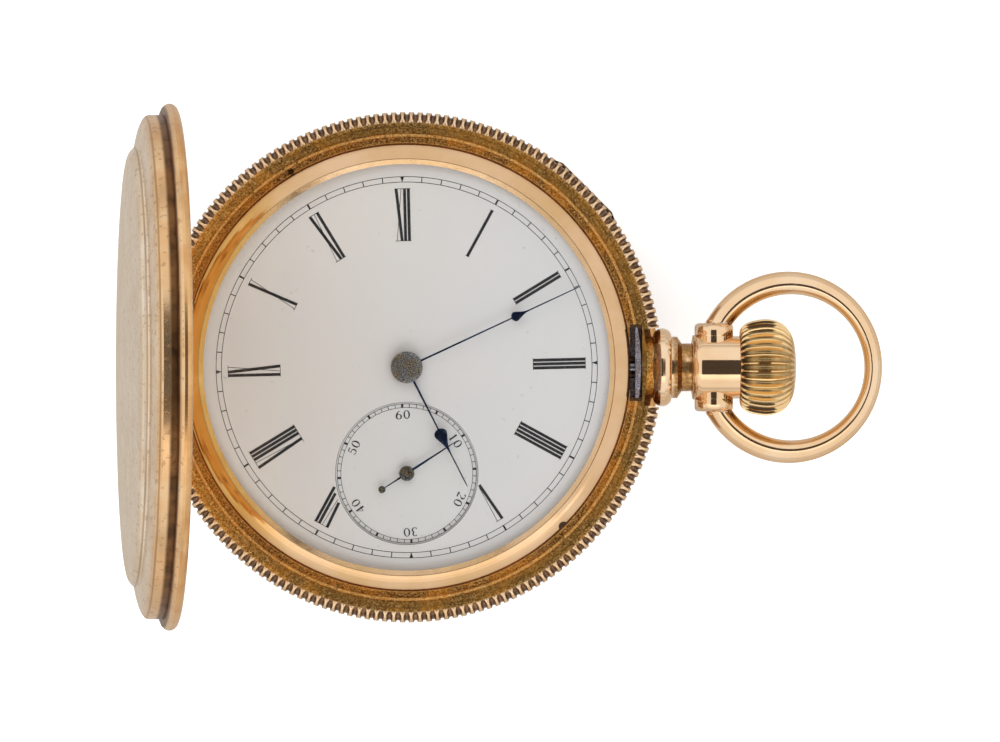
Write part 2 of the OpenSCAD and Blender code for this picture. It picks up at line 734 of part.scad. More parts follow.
module back_hinge_pin() {
    color(gold) knuckle(zb, -hinge_half, hinge_half, hinge_pin_r);
}

module bezel() {
    seat = zf - bezel_step_d;
    top = crystal_z + bezel_crown_h;
    inner = crystal_r + 0.05;
    color(gold) difference() {
        rotate_extrude() polygon([
            [inner, seat], [bezel_out, seat],
            each bend([bezel_out, seat + 1.0], [bezel_out - 0.1, top - 0.4],
                [inner + 0.1, top], 8),
            [inner, top - 0.1], [inner, crystal_z], [flange_in, crystal_z - 0.15],
            [flange_in + 0.1, dial_top + 0.15],
            [inner, dial_top + 0.15]]);
        // hollow over the setting lever
        rotate([0, 0, lever_dir]) translate([bezel_out, 0, seat - 1])
            cylinder(r = 0.55, h = 4);
    }
}

module crystal() {
    c = [0, crystal_z + 0.02];
    n = 8;
    function dome(r) = crystal_rise * (1 - r * r / (crystal_r * crystal_r));
    color("#DCE6EA", 0.35) rotate_extrude() polygon([
        for (i = [0:n]) c + [crystal_r * i / n, dome(crystal_r * i / n)],
        for (i = [n:-1:0]) c + [crystal_r * i / n,
            dome(crystal_r * i / n) * 1.1 + crystal_t * (1 - 0.5 * pow(i / n, 6))]]);
}

screw_at_r = movement_r - 1.2;
case_screw_dirs = [-22, 200];
module case_screws() {
    color(steel) for (a = case_screw_dirs) {
        p = polar(screw_at_r, a);
        translate([p.x, p.y, zb + trough_d - 0.5]) difference() {
            cylinder(r = 1.7, h = 0.5);
            translate([-2, -0.15, -cut]) cube([4, 0.3, 0.25]);
        }
        translate([p.x, p.y, zb + trough_d - cut])
            cylinder(r = 0.5, h = pp_z + 0.8 - zb - trough_d);
    }
}

module dial() {
    color(enamel) difference() {
        translate([0, 0, dial_z]) rotate_extrude() polygon([[0, 0], [dial_r, 0],
            [dial_r, dial_t - 0.1], [dial_r - 0.1, dial_t], [0, dial_t]]);
        translate([0, -seconds_off, dial_z - cut]) cylinder(r = seconds_r, h = dial_t + 1);
        translate([0, -seconds_off, dial_z - cut])
            cylinder(r = seconds_r + 0.4, h = 0.3 + cut);
        translate([0, 0, dial_z - cut]) cylinder(r = hour_tube_r + 0.25, h = dial_t + 1);
    }
}

module seconds_dial() {
    color(enamel) translate([0, -seconds_off, dial_z]) difference() {
        union() {
            cylinder(r = seconds_r + 0.35, h = 0.25);
            cylinder(r = seconds_r - 0.05, h = dial_t - seconds_sink);
        }
        translate([0, 0, -1]) cylinder(r = pivot_r + 0.25, h = 3);
    }
}

foot_dirs = [60, 180, 300];
module dial_feet() {
    color("#B87345") for (a = foot_dirs) {
        p = polar(recess_r + 3.5, a);
        translate([p.x, p.y, dial_z - 1.8]) cylinder(r = 0.5, h = 1.8);
    }
}

train_at = [third_at, fourth_at, escape_at, pallet_at];
module pillar_plate() {
    color(nickel) difference() {
        union() {
            translate([0, 0, pp_z]) cylinder(r = movement_r, h = pp_top - pp_z);
            translate([0, 0, pp_top - 0.4]) cylinder(r = flange_r - 0.1, h = 0.4);
        }
        translate([0, 0, pp_web]) cylinder(r = recess_r, h = 3);
        // way for the stem and the winding pinions
        translate([stem_in_x - 0.3, -2.2, pp_z - 1]) cube([30, 4.4, 9]);
        rotate([0, 0, lever_dir]) translate([recess_r + 3.7, -lever_w / 2 - 0.1,
            lever_z - 0.1]) cube([20, lever_w + 0.2, 3]);
        for (a = foot_dirs) translate([for (k = [0, 1]) polar(recess_r + 3.5, a)[k]])
            translate([0, 0, pp_z - 1]) cylinder(r = 0.55, h = 9);
        for (a = case_screw_dirs) translate(concat(polar(screw_at_r, a), pp_z - 1))
            cylinder(r = 0.52, h = 2.2);
        for (p = concat(train_at, [balance_at])) translate(concat(p, pp_z - cut))
            cylinder(r = jewel_r + fit, h = jewel_t + cut);
        translate(concat(fourth_at, pp_z - cut)) cylinder(r = pivot_r + 0.15, h = 9);
        for (p = [third_at, escape_at, pallet_at, balance_at])
            translate(concat(p, pp_z)) cylinder(r = pivot_r + 0.1, h = jewel_t + 0.3);
        translate([0, 0, pp_z - 1]) cylinder(r = centre_pivot_r + run_clear, h = 9);
        translate(concat(barrel_at, pp_z - cut)) cylinder(r = 1.05, h = 0.6);
        for (p = concat(plate_pillars, bridge_pillars)) translate(concat(p, pp_z - cut))
            cylinder(r = 0.42, h = 0.7);
        for (p = [minute_at_xy, setting_at]) translate(concat(p, pp_web - 0.5))
            cylinder(r = 0.4 + fit, h = 1);
    }
}

module pillars() {
    color(brass) for (p = concat(plate_pillars, bridge_pillars)) translate([p.x, p.y, 0]) {
        r = norm(p) > pillar_at_r - 0.05 ? pillar_r : pillar_r - 0.2;
        difference() {
            translate([0, 0, tp_top]) cylinder(r = r, h = train_h);
            translate([0, 0, tp_top - 1]) cylinder(r = 0.42, h = 2.6);
        }
        translate([0, 0, pp_z - cut]) cylinder(r = 0.4, h = 0.6);
    }
}

// Top plate outline and the holes that it shares with the barrel bridge
top_drill = tp_top - tp_z + 2.9;
module top_holes() {
    for (p = concat(plate_pillars, bridge_pillars)) translate(concat(p, tp_z - 1))
        cylinder(r = 0.45, h = top_drill);
    for (p = train_at) {
        translate(concat(p, tp_top - jewel_t)) cylinder(r = jewel_r + fit, h = 2);
        translate(concat(p, tp_z - 1)) cylinder(r = pivot_r + 0.1, h = top_drill);
    }
    translate(concat(balance_at, tp_z - 1)) cylinder(r = 1.1, h = top_drill);
    translate([0, 0, tp_z - 1]) cylinder(r = centre_pivot_r + run_clear, h = top_drill);
    translate(concat(barrel_at, tp_z - 1)) cylinder(r = 1.6, h = top_drill);
    translate(concat(crown_wheel_at, tp_z - 1)) cylinder(r = contrate_r + 0.75, h = top_drill);
    for (a = case_screw_dirs) translate(concat(polar(screw_at_r, a), tp_z - 1))
        cylinder(r = 1.9, h = top_drill);
    translate(concat(foot_at, tp_z - 1)) cylinder(r = 0.45, h = top_drill);
    translate(concat(click_at, tp_z - 1)) cylinder(r = 0.45, h = top_drill);
    translate(concat(spring_at, tp_z - 1)) cylinder(r = 0.45, h = top_drill);
}

module top_plate() {
    color(nickel) difference() {
        translate([0, 0, tp_z]) cylinder(r = top_plate_r, h = top_plate_t);
        translate(concat(barrel_at, tp_z - 1)) cylinder(r = bridge_r, h = 4);
        top_holes();
    }
}

module barrel_bridge() {
    color(nickel) difference() {
        intersection() {
            translate([0, 0, tp_z]) cylinder(r = top_plate_r, h = top_plate_t);
            translate(concat(barrel_at, tp_z - 1)) cylinder(r = bridge_r - 0.05, h = 4);
        }
        top_holes();
    }
}

ratchet_r = ratchet_n * ratchet_m / 2;
click_at = barrel_at + polar(ratchet_r + 1.96, 104);
spring_at = barrel_at + polar(ratchet_r + 3.46, 122);
module screw(p, z, head, shank, len) {
    translate([p.x, p.y, z]) {
        difference() {
            translate([0, 0, -0.3]) cylinder(r = head, h = 0.3);
            translate([-head, -0.1, -0.3 - cut]) cube([2 * head, 0.2, 0.15]);
        }
        translate([0, 0, -cut]) cylinder(r = shank, h = len);
    }
}

module movement_screws() {
    color(blued) {
        for (p = concat(plate_pillars, bridge_pillars)) screw(p, tp_z, 0.8, 0.4, 2.4);
        screw(foot_at, cock_z, 0.8, 0.4, tp_z - cock_z + 0.9);
        screw(click_at, ratchet_z, 0.8, 0.4, tp_z - ratchet_z + 0.9);
        screw(spring_at, ratchet_z, 0.8, 0.4, tp_z - ratchet_z + 0.9);
    }
}

// Cock that holds the outer end of the balance staff
module balance_cock() {
    a = dir_of(foot_at - balance_at);
    side = polar(1, a + 90);
    color(nickel) difference() {
        union() {
            translate([0, 0, cock_z]) linear_extrude(cock_t) union() {
                translate(balance_at) circle(r = 2.4);
                translate(foot_at) circle(r = foot_r);
                polygon([balance_at + 2 * side, balance_at - 2 * side,
                    foot_at - 1.6 * side, foot_at + 1.6 * side]);
            }
            translate(concat(foot_at, cock_top - cut))
                cylinder(r = foot_r, h = balance_h + cut);
            translate(concat(balance_at, cock_z - regulator_t))
                cylinder(r = 0.85, h = regulator_t + cut);
        }
        translate(concat(balance_at, cock_top - jewel_t))
            cylinder(r = jewel_r + fit, h = 2);
        translate(concat(balance_at, cock_top - jewel_t - 0.3))
            cylinder(r = pivot_r + 0.1, h = 2);
        translate(concat(foot_at, cock_z - 1)) cylinder(r = 0.43, h = 9);
        translate(concat(stud_at, cock_top - 0.5)) cylinder(r = 0.3 + fit, h = 1);
    }
}

module jewel(p, z) {
    translate([p.x, p.y, z]) difference() {
        cylinder(r = jewel_r, h = jewel_t);
        translate([0, 0, -1]) cylinder(r = pivot_r + run_clear, h = 3);
    }
}

module plate_jewels() {
    color(ruby) {
        for (p = train_at) {
            jewel(p, tp_top - jewel_t);
            jewel(p, pp_z);
        }
        jewel(balance_at, pp_z);
        jewel(balance_at, cock_top - jewel_t);
    }
}

hair_in = 0.9;
hair_out = hair_in + hairspring_turns * hairspring_pitch;
stud_at = balance_at + polar(hair_out + 0.45, -90);
module hairspring_stud() {
    color(steel) {
        translate(concat(stud_at, cock_top - 0.5)) cylinder(r = 0.3, h = 0.5 + cut);
        translate(concat(stud_at, cock_top)) cylinder(r = 0.3, h = 0.6);
    }
}

module click_spring() {
    color(steel) difference() {
        union() {
            translate(concat(spring_at, ratchet_z)) cylinder(r = 0.9, h = ratchet_t);
            translate([0, 0, ratchet_z]) linear_extrude(ratchet_t)
                polygon([for (a = [119:-3:107]) barrel_at + polar(ratchet_r + 3.56, a),
                    for (a = [107:3:119]) barrel_at + polar(ratchet_r + 3.26, a)]);
        }
        translate(concat(spring_at, ratchet_z - 1)) cylinder(r = 0.43, h = 3);
    }
}

module setting_posts() {
    color(steel) for (p = [minute_at_xy, setting_at]) {
        translate(concat(p, pp_web - 0.45)) cylinder(r = 0.4, h = 0.45 + recess_d - 0.1);
        translate(concat(p, pp_web)) cylinder(r = 0.8, h = 0.1 - 0.02);
    }
}

// Bow: a ring of wire with its ends cut flat against the ears, and a pin in each
module bow() {
    color(gold) translate([ear_x, 0, stem_z]) {
        difference() {
            translate([bow_reach, 0, 0]) rotate_extrude() translate([bow_r, 0])
                circle(r = bow_wire_r);
            translate([-4, -ear_face - run_clear, -4])
                cube([8, 2 * (ear_face + run_clear), 8]);
        }
        both_sides() translate([0, ear_face + 0.4, 0]) rotate([90, 0, 0])
            cylinder(r = bow_pin_r, h = 1.7);
    }
}

module crown() {
    color(gold) along_x(crown_x) difference() {
        intersection() {
            rotate_extrude() polygon([[0, 0], [crown_skirt_r, 0],
                each bend([crown_skirt_r, 0], [crown_r + 0.1, 0.6], [crown_r, 2.9], 5),
                each bend([crown_r, 2.9], [crown_r - 0.05, crown_len - 0.5],
                    [3.0, crown_len - 0.15], 6),
                [2.4, crown_len], [0, crown_len]]);
            linear_extrude(crown_len + 1) polygon([for (i = [0:crown_ribs - 1]) each [
                polar(crown_r + 0.05, (i - 0.2) * 360 / crown_ribs),
                polar(crown_r + 0.05, (i + 0.2) * 360 / crown_ribs),
                polar(crown_r - crown_groove, (i + 0.5) * 360 / crown_ribs)]]);
        }
        difference() {
            translate([0, 0, -1]) cylinder(r = pendant_r + 0.1, h = 2.4);
            translate([0, 0, -2]) cylinder(r = 1.4, h = 6);
        }
        translate([0, 0, -1]) cylinder(r = 1 + fit, h = 4);
    }
}

module winding_stem() {
    color(steel) {
        along_x(stem_in_x + 0.2) linear_extrude(3.6) square(1.0, center = true);
        along_x(stem_in_x + 3.8) cylinder(r = stem_r, h = shoulder_x - stem_in_x - 3.8);
        along_x(shoulder_x) cylinder(r = shoulder_r, h = 1);
        along_x(shoulder_x + 1) cylinder(r = stem_r + 0.15, h = crown_x - shoulder_x + 1);
    }
}

wp_x = crown_wheel_x + contrate_r;
module winding_pinion() {
    color(steel) along_x(wp_x - 0.35) difference() {
        union() {
            pinion(winding_n, winding_m, 0.7, 0, stem_r + run_clear);
            translate([0, 0, 0.7]) cylinder(r = 1.3, h = 0.5);
            translate([0, 0, -0.3]) cylinder(r = 1.1, h = 0.3);
        }
        translate([0, 0, -1]) cylinder(r = stem_r + run_clear, h = 3);
    }
}

module clutch() {
    color(steel) along_x(stem_in_x + 1.4) difference() {
        union() {
            cylinder(r = 1.1, h = 0.6);
            cylinder(r = 0.85, h = 1.8);
            translate([0, 0, 1.2]) cylinder(r = 1.1, h = 0.6);
        }
        translate([0, 0, -1]) linear_extrude(4) square(1.1, center = true);
    }
}

// Crown wheel: flat teeth outside the plate, upright teeth under the winding pinion
module crown_wheel() {
    up_z = stem_z - contrate_r * winding_n / contrate_n;
    color(steel) translate(concat(crown_wheel_at, 0)) {
        translate([0, 0, ratchet_z])
            wheel(crown_n, ratchet_m, ratchet_t, 0, arbor_r, 0);
        difference() {
            translate([0, 0, ratchet_z + ratchet_t - cut])
                cylinder(r = contrate_r + 0.45, h = up_z - 0.35 - ratchet_z - ratchet_t);
            translate([0, 0, ratchet_z]) cylinder(r = arbor_r, h = 9);
            translate([0, 0, up_z - 1]) cylinder(r = contrate_r - 0.4, h = 2);
        }
        for (i = [0:contrate_n - 1]) rotate((i + 0.5) * 360 / contrate_n)
            translate([0, 0, up_z - 0.4]) linear_extrude(0.55) polygon([
                polar(contrate_r - 0.3, -2.8), polar(contrate_r + 0.4, -2.8),
                polar(contrate_r + 0.4, 2.8), polar(contrate_r - 0.3, 2.8)]);
    }
}

module ratchet_wheel() {
    phi = dir_of(barrel_at - crown_wheel_at);
    color(steel) translate(concat(barrel_at, ratchet_z))
        wheel(ratchet_n, ratchet_m, ratchet_t, phase(phi, 0, crown_n, ratchet_n), 0.9, 0);
}

module barrel_arbor() {
    color(steel) translate(concat(barrel_at, 0)) {
        translate([0, 0, ratchet_z]) cylinder(r = 0.88, h = drum_z - ratchet_z);
        translate([0, 0, ratchet_z + ratchet_t]) cylinder(r = 1.5, h = top_plate_t + 0.1);
        translate([0, 0, drum_z - cut]) cylinder(r = 0.9, h = drum_h + cut);
        translate([0, 0, drum_z + 0.35]) cylinder(r = 2.2, h = drum_h - 0.75);
        translate([0, 0, drum_z + drum_h]) cylinder(r = 0.9, h = pp_z + 0.4 - drum_z - drum_h);
    }
}

module barrel() {
    color(brass) translate(concat(barrel_at, 0)) difference() {
        union() {
            translate([0, 0, drum_z]) cylinder(r = drum_r, h = drum_h);
            translate([0, 0, barrel_teeth_z]) rotate(phase(barrel_dir, 0, centre_pn, barrel_n))
                linear_extrude(0.4) toothed(barrel_n, barrel_m);
        }
        translate([0, 0, drum_z - 1]) cylinder(r = 0.9 + run_clear, h = drum_h + 2);
        translate([0, 0, drum_z + 0.25]) cylinder(r = drum_r - 0.5, h = drum_h);
    }
}

module barrel_cap() {
    color(brass) translate(concat(barrel_at, drum_z + drum_h - 0.25)) difference() {
        cylinder(r = drum_r - 0.5 - fit, h = 0.25);
        translate([0, 0, -1]) cylinder(r = 0.9 + run_clear, h = 3);
    }
}

spring_turns = 7;
module mainspring() {
    r0 = 2.6;
    r1 = drum_r - 0.75;
    n = spring_turns * 24;
    t = 0.16;
    function at(i, s) = polar(r0 + (r1 - r0) * i / n + s, 15 * i);
    color(steel) translate(concat(barrel_at, drum_z + 0.4)) linear_extrude(drum_h - 0.85)
        polygon([for (i = [0:n]) at(i, t / 2), for (i = [n:-1:0]) at(i, -t / 2)]);
}

module center_wheel() {
    color(brass) {
        difference() {
            translate([0, 0, centre_wheel_z])
                wheel(centre_n, centre_m, 0.25, 0, centre_pivot_r - 0.1);
        }
        translate([0, 0, centre_wheel_z - 0.8])
            pinion(centre_pn, barrel_m, 0.8 + cut, 0, centre_pivot_r - 0.1);
        translate([0, 0, tp_z + 0.1]) cylinder(r = centre_pivot_r, h = pp_web - tp_z - 0.1);
        translate([0, 0, pp_web - cut]) cylinder(r = arbor_r, h = minute_hand_z - pp_web);
    }
}

third_turn = phase(dir_of(third_at), 0, centre_n, third_pn);
module third_wheel() {
    color(brass) translate(concat(third_at, 0)) {
        translate([0, 0, third_wheel_z]) wheel(third_n, third_m, 0.25, 0, arbor_r - 0.05);
        translate([0, 0, centre_wheel_z - 0.1])
            pinion(third_pn, centre_m, 0.45, third_turn, arbor_r - 0.05);
        arbor(tp_top, pp_z);
    }
}

fourth_turn = phase(dir_of(fourth_at - third_at), 0, third_n, fourth_pn);
module fourth_wheel() {
    color(brass) translate(concat(fourth_at, 0)) {
        translate([0, 0, fourth_wheel_z]) wheel(fourth_n, fourth_m, 0.2, 0, arbor_r - 0.05);
        translate([0, 0, third_wheel_z - 0.2])
            pinion(fourth_pn, third_m, 0.6, fourth_turn, arbor_r - 0.05);
        arbor(tp_top, pp_z);
        translate([0, 0, pp_z]) cylinder(r = pivot_r, h = seconds_hand_z + hand_t - pp_z);
    }
}

module seconds_hand() {
    bob = 3.2;
    color(blued) translate([0, -seconds_off, seconds_hand_z]) rotate(seconds_at) difference() {
        union() {
            linear_extrude(hand_t) polygon([[0, 0.12], [seconds_len, 0.05],
                [seconds_len, -0.05], [0, -0.12], [-bob, -0.1], [-bob, 0.1]]);
            translate([-bob, 0, 0]) cylinder(r = 0.38, h = hand_t);
            cylinder(r = 0.85, h = hand_t);
        }
        translate([0, 0, -1]) cylinder(r = pivot_r + 0.01, h = 3);
    }
}

module escape_wheel() {
    step = 360 / escape_n;
    color(brass) translate(concat(escape_at, 0)) {
        translate([0, 0, escape_wheel_z]) rotate(pallet_dir + 36) difference() {
            linear_extrude(0.25) polygon([for (i = [0:escape_n - 1]) each [
                polar(escape_r - 0.9, (i - 0.42) * step),
                polar(escape_r - 0.75, (i - 0.1) * step),
                polar(escape_r, (i + 0.02) * step), polar(escape_r - 0.08, (i + 0.14) * step),
                polar(escape_r - 0.7, (i + 0.12) * step)]]);
            for (i = [0:3]) rotate(90 * i) translate([1.45, 0, -1]) cylinder(r = 0.65, h = 3);
            translate([0, 0, -1]) cylinder(r = arbor_r - 0.05, h = 3);
        }
        translate([0, 0, fourth_wheel_z - 0.2]) pinion(escape_pn, fourth_m, 0.6,
            phase(escape_dir, 0, fourth_n, escape_pn), arbor_r - 0.05);
        arbor(tp_top, pp_z, arbor_r - 0.04);
    }
}

// Pallet fork: two arms with a stone at each end, and the lever to the balance
module pallet_fork() {
    side = polar(1, pallet_dir + 90);
    fork_end = pallet_at + polar(balance_dist - 1.45, pallet_dir);
    stone_dirs = [pallet_dir - 30, pallet_dir + 30];
    color(steel) {
        translate([0, 0, fork_z]) linear_extrude(0.3) union() {
            translate(pallet_at) circle(r = 0.6);
            polygon([pallet_at + 0.3 * side, pallet_at - 0.3 * side,
                fork_end - 0.45 * side, fork_end + 0.45 * side]);
            for (a = stone_dirs) polygon([
                pallet_at + polar(0.3, pallet_dir), pallet_at - polar(0.3, pallet_dir),
                escape_at + polar(escape_r + 0.22, a), escape_at + polar(escape_r + 1.0, a)]);
        }
        translate(concat(pallet_at, 0)) arbor(tp_top, pp_z, arbor_r - 0.05);
    }
    color(ruby) for (a = stone_dirs) translate(concat(escape_at, escape_wheel_z + 0.05))
        rotate(a) translate([escape_r + 0.22, -0.17, 0])
            cube([0.75, 0.34, fork_z + 0.1 - escape_wheel_z - 0.05]);
}

module balance_wheel() {
    color(brass) translate(concat(balance_at, balance_z)) difference() {
        union() {
            difference() {
                cylinder(r = balance_r, h = balance_t);
                translate([0, 0, -1]) cylinder(r = balance_r - balance_rim, h = 3);
            }
            translate([-balance_r + 0.4, -0.5, 0.1])
                cube([2 * balance_r - 0.8, 1, balance_t - 0.3]);
            cylinder(r = 1.2, h = balance_t - 0.1);
        }
        translate([0, 0, -1]) cylinder(r = 0.5 + fit, h = 3);
        for (i = [0:balance_screw_n - 1]) rotate((i + 0.5) * 360 / balance_screw_n)
            translate([balance_r - 0.55, 0, balance_t / 2]) rotate([0, 90, 0])
                cylinder(r = 0.2, h = 2);
    }
}

balance_screw_n = 14;
module balance_screws() {
    color(gold) translate(concat(balance_at, balance_z + balance_t / 2))
        for (i = [0:balance_screw_n - 1]) rotate((i + 0.5) * 360 / balance_screw_n) {
            translate([balance_r - 0.5, 0, 0]) rotate([0, 90, 0])
                cylinder(r = 0.18, h = 0.6);
            translate([balance_r + 0.05, 0, 0]) rotate([0, 90, 0])
                cylinder(r = 0.32, h = 0.6);
        }
}

module balance_staff() {
    color(steel) translate(concat(balance_at, 0)) {
        arbor(cock_top, pp_z, 0.5, jewel_t);
        translate([0, 0, cock_top + 0.15]) cylinder(r = 0.82, h = 0.5);
    }
}

// Roller on the staff, with its pin turned away from the fork
module roller() {
    z = fork_z - 0.8;
    color(steel) translate(concat(balance_at, z)) difference() {
        cylinder(r = 1.75, h = 0.3);
        translate([0, 0, -1]) cylinder(r = 0.5 + fit, h = 3);
    }
    color(ruby) translate(concat(balance_at + polar(1.45, pallet_dir), z + 0.3 - cut))
        cylinder(r = 0.13, h = 0.8);
}

// Flat spiral from the collet on the staff out to the stud
module hairspring() {
    n = hairspring_turns * 36;
    half = hairspring_t / 2;
    function at(i, s) = polar(hair_in + (hair_out - hair_in) * i / n + s, -90 + 10 * i);
    echo(hairspring_gap = hairspring_pitch - hairspring_t);
    color(blued) translate(concat(balance_at, cock_top + 0.28)) linear_extrude(0.25)
        polygon([for (i = [0:n]) at(i, half), for (i = [n:-1:0]) at(i, -half)]);
}

module regulator() {
    color(steel) translate(concat(balance_at, reg_z)) rotate(-90) difference() {
        union() {
            cylinder(r = 1.5, h = regulator_t);
            linear_extrude(regulator_t)
                polygon([[1.1, 0.6], [5.6, 0.12], [6.2, 0], [5.6, -0.12], [1.1, -0.6]]);
        }
        translate([0, 0, -1]) cylinder(r = 0.85 + run_clear, h = 3);
    }
}

module cannon_pinion() {
    color(steel) {
        translate([0, 0, motion_z]) pinion(cannon_n, minute_m, 0.5, 0, tube_bore);
        difference() {
            translate([0, 0, motion_z])
                cylinder(r = cannon_r, h = minute_hand_z + hand_t + 0.12 - motion_z);
            translate([0, 0, motion_z - 1]) cylinder(r = tube_bore, h = 9);
        }
    }
}

// A pear shaped hand with a slim neck, from the boss out to its point
function pear(len, at, w, neck) = [[0, neck], [at - 2.6 * w, neck * 0.8],
    [at - 1.2 * w, w * 0.32], [at - 0.5 * w, w * 0.5], [at + 0.2 * w, w * 0.46],
    [at + 1.6 * w, neck * 0.8], [len, 0.04]];
module hand(len, at, w, neck, boss, bore, hub_h) {
    up = pear(len, at, w, neck);
    difference() {
        union() {
            linear_extrude(hand_t) polygon(concat(up,
                [for (p = backwards(up)) [p.x, -p.y]]));
            translate([0, 0, -0.08]) cylinder(r = boss, h = hub_h);
        }
        translate([0, 0, -1]) cylinder(r = bore, h = 3);
    }
}

module minute_hand() {
    color(blued) translate([0, 0, minute_hand_z]) rotate(minute_at)
        hand(minute_len, 13.2, 0.95, 0.13, 1.2, cannon_r + 0.01, 0.26);
}

module hour_wheel() {
    color(brass) {
        translate([0, 0, hour_wheel_z]) wheel(hour_n, hour_m, 0.25,
            phase(minute_dir + 180, 0, hour_pn, hour_n), hour_bore, 0);
        difference() {
            translate([0, 0, hour_wheel_z])
                cylinder(r = hour_tube_r, h = hour_hand_z + hand_t + 0.04 - hour_wheel_z);
            translate([0, 0, motion_z]) cylinder(r = hour_bore, h = 9);
        }
    }
}

module hour_hand() {
    color(blued) translate([0, 0, hour_hand_z]) rotate(hour_at)
        hand(hour_len, 8.4, 1.35, 0.14, 1.75, hour_tube_r + 0.01, 0.24);
}

minute_turn = phase(minute_dir, 0, cannon_n, minute_n);
module minute_wheel() {
    color(brass) translate(concat(minute_at_xy, 0)) {
        translate([0, 0, motion_z]) wheel(minute_n, minute_m, 0.3, minute_turn, 0.45, 0);
        translate([0, 0, motion_z + 0.3 - cut]) pinion(hour_pn, hour_m, 0.6, 0, 0.45);
    }
}

module setting_wheel() {
    phi = dir_of(setting_at - minute_at_xy);
    color(steel) translate(concat(setting_at, motion_z))
        wheel(minute_n, minute_m, 0.3, phase(phi, minute_turn, minute_n, minute_n), 0.45, 0);
}

module click() {
    tip = barrel_at + polar(ratchet_r + 0.8 * ratchet_m + 0.06, 88);
    a = dir_of(tip - click_at);
    color(steel) translate([0, 0, ratchet_z + 0.02]) difference() {
        union() {
            translate(click_at) cylinder(r = 1.1, h = ratchet_t - 0.04);
            linear_extrude(ratchet_t - 0.04)
                polygon([click_at + polar(1.0, a + 50), tip + polar(0.25, a + 120), tip,
                    click_at + polar(1.0, a - 50)]);
        }
        translate(concat(click_at, -1)) cylinder(r = 0.45, h = 3);
    }
}

// Lock spring in the channel of the case, with its head up beside the bezel
module lock_spring() {
    z0 = channel_lo + 0.3;
    z1 = channel_hi - 0.3;
    r1 = seat_r - 0.15;
    r0 = r1 - 0.8;
    a1 = -asin((lock_half - lock_off) / r1);
    nose_in = seat_r + 0.45;
    color(steel) difference() {
        union() {
            translate([0, 0, z0]) linear_extrude(z1 - z0) union() {
                polygon([for (i = [0:10]) polar(r1, -60 + (a1 + 60) * i / 10),
                    for (i = [10:-1:0]) polar(r0, -60 + (a1 + 60) * i / 10)]);
                translate(lock_pivot) circle(r = spring_eye_r);
            }
            translate([r0 + 0.1, lock_off - lock_half, z0])
                cube([lock_face - r0 - 0.1, 2 * lock_half, z1 - z0]);
            intersection() {
                translate([nose_in, lock_off - lock_half, z1 - cut])
                    cube([lock_face - nose_in, 2 * lock_half, zf + ridge_h + 0.15 - z1]);
                cylinder(r = lid_in_r - 0.1, h = 2 * zf);
            }
        }
        translate([lock_pivot.x, lock_pivot.y, z0 - 1]) cylinder(r = 0.4 + run_clear, h = 9);
        translate([r0 - 2, -stem_r - 0.45, z0 - 1])
            cube([9, 2 * stem_r + 0.9, stem_z - z0 + 1 + stem_r + 0.35]);
    }
}

// Lift spring that throws the front cover open, with its tip up beside the hinge
module lift_spring() {
    z0 = channel_lo + 0.9;
    z1 = channel_hi - 0.3;
    r1 = seat_r - 0.15;
    r0 = r1 - 0.7;
    color(steel) difference() {
        union() {
            translate([0, 0, z0]) linear_extrude(z1 - z0) union() {
                polygon([for (i = [0:10]) polar(r1, 124 + (lift_at - 124) * i / 10),
                    for (i = [10:-1:0]) polar(r0, 124 + (lift_at - 124) * i / 10)]);
                translate(lift_pivot) circle(r = spring_eye_r);
            }
            rotate([0, 0, lift_at]) {
                translate([r0, -lift_half, z0])
                    cube([ring_r - 0.15 - r0, 2 * lift_half, z1 - z0]);
                translate([ridge_r + 0.15, -lift_half, z1 - cut])
                    cube([ring_r - 0.3 - ridge_r, 2 * lift_half, zf + 0.5 - z1]);
            }
        }
        translate([lift_pivot.x, lift_pivot.y, z0 - 1]) cylinder(r = 0.4 + run_clear, h = 9);
    }
}

module setting_lever() {
    tip = movement_r - 0.1;
    color(steel) rotate([0, 0, lever_dir]) translate([0, 0, lever_z]) union() {
        translate([recess_r + 4.2, -lever_w / 2, 0])
            cube([tip - recess_r - 5.2, lever_w, 0.5]);
        translate([tip - 1, 0, 0]) cylinder(r = lever_w / 2, h = 0.5);
    }
}

case_middle();
reeded_band();
pendant();
pendant_sleeve();
front_hinge_pin();
back_hinge_pin();
bezel();
crystal();
case_screws();
dial();
seconds_dial();
dial_feet();
pillar_plate();
pillars();
top_plate();
barrel_bridge();
movement_screws();
balance_cock();
plate_jewels();
hairspring_stud();
click_spring();
setting_posts();
front_cover();
back_cover();
cuvette();
bow();
crown();
winding_stem();
winding_pinion();
clutch();
crown_wheel();
ratchet_wheel();
barrel_arbor();
barrel();
barrel_cap();
mainspring();
center_wheel();
third_wheel();
fourth_wheel();
seconds_hand();
escape_wheel();
pallet_fork();
balance_wheel();
balance_screws();
balance_staff();
roller();
hairspring();
regulator();
cannon_pinion();
minute_hand();
hour_wheel();
hour_hand();
minute_wheel();
setting_wheel();
click();
lock_spring();
lift_spring();
setting_lever();
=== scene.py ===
import math

import bmesh
import bpy
from mathutils import Matrix, Vector


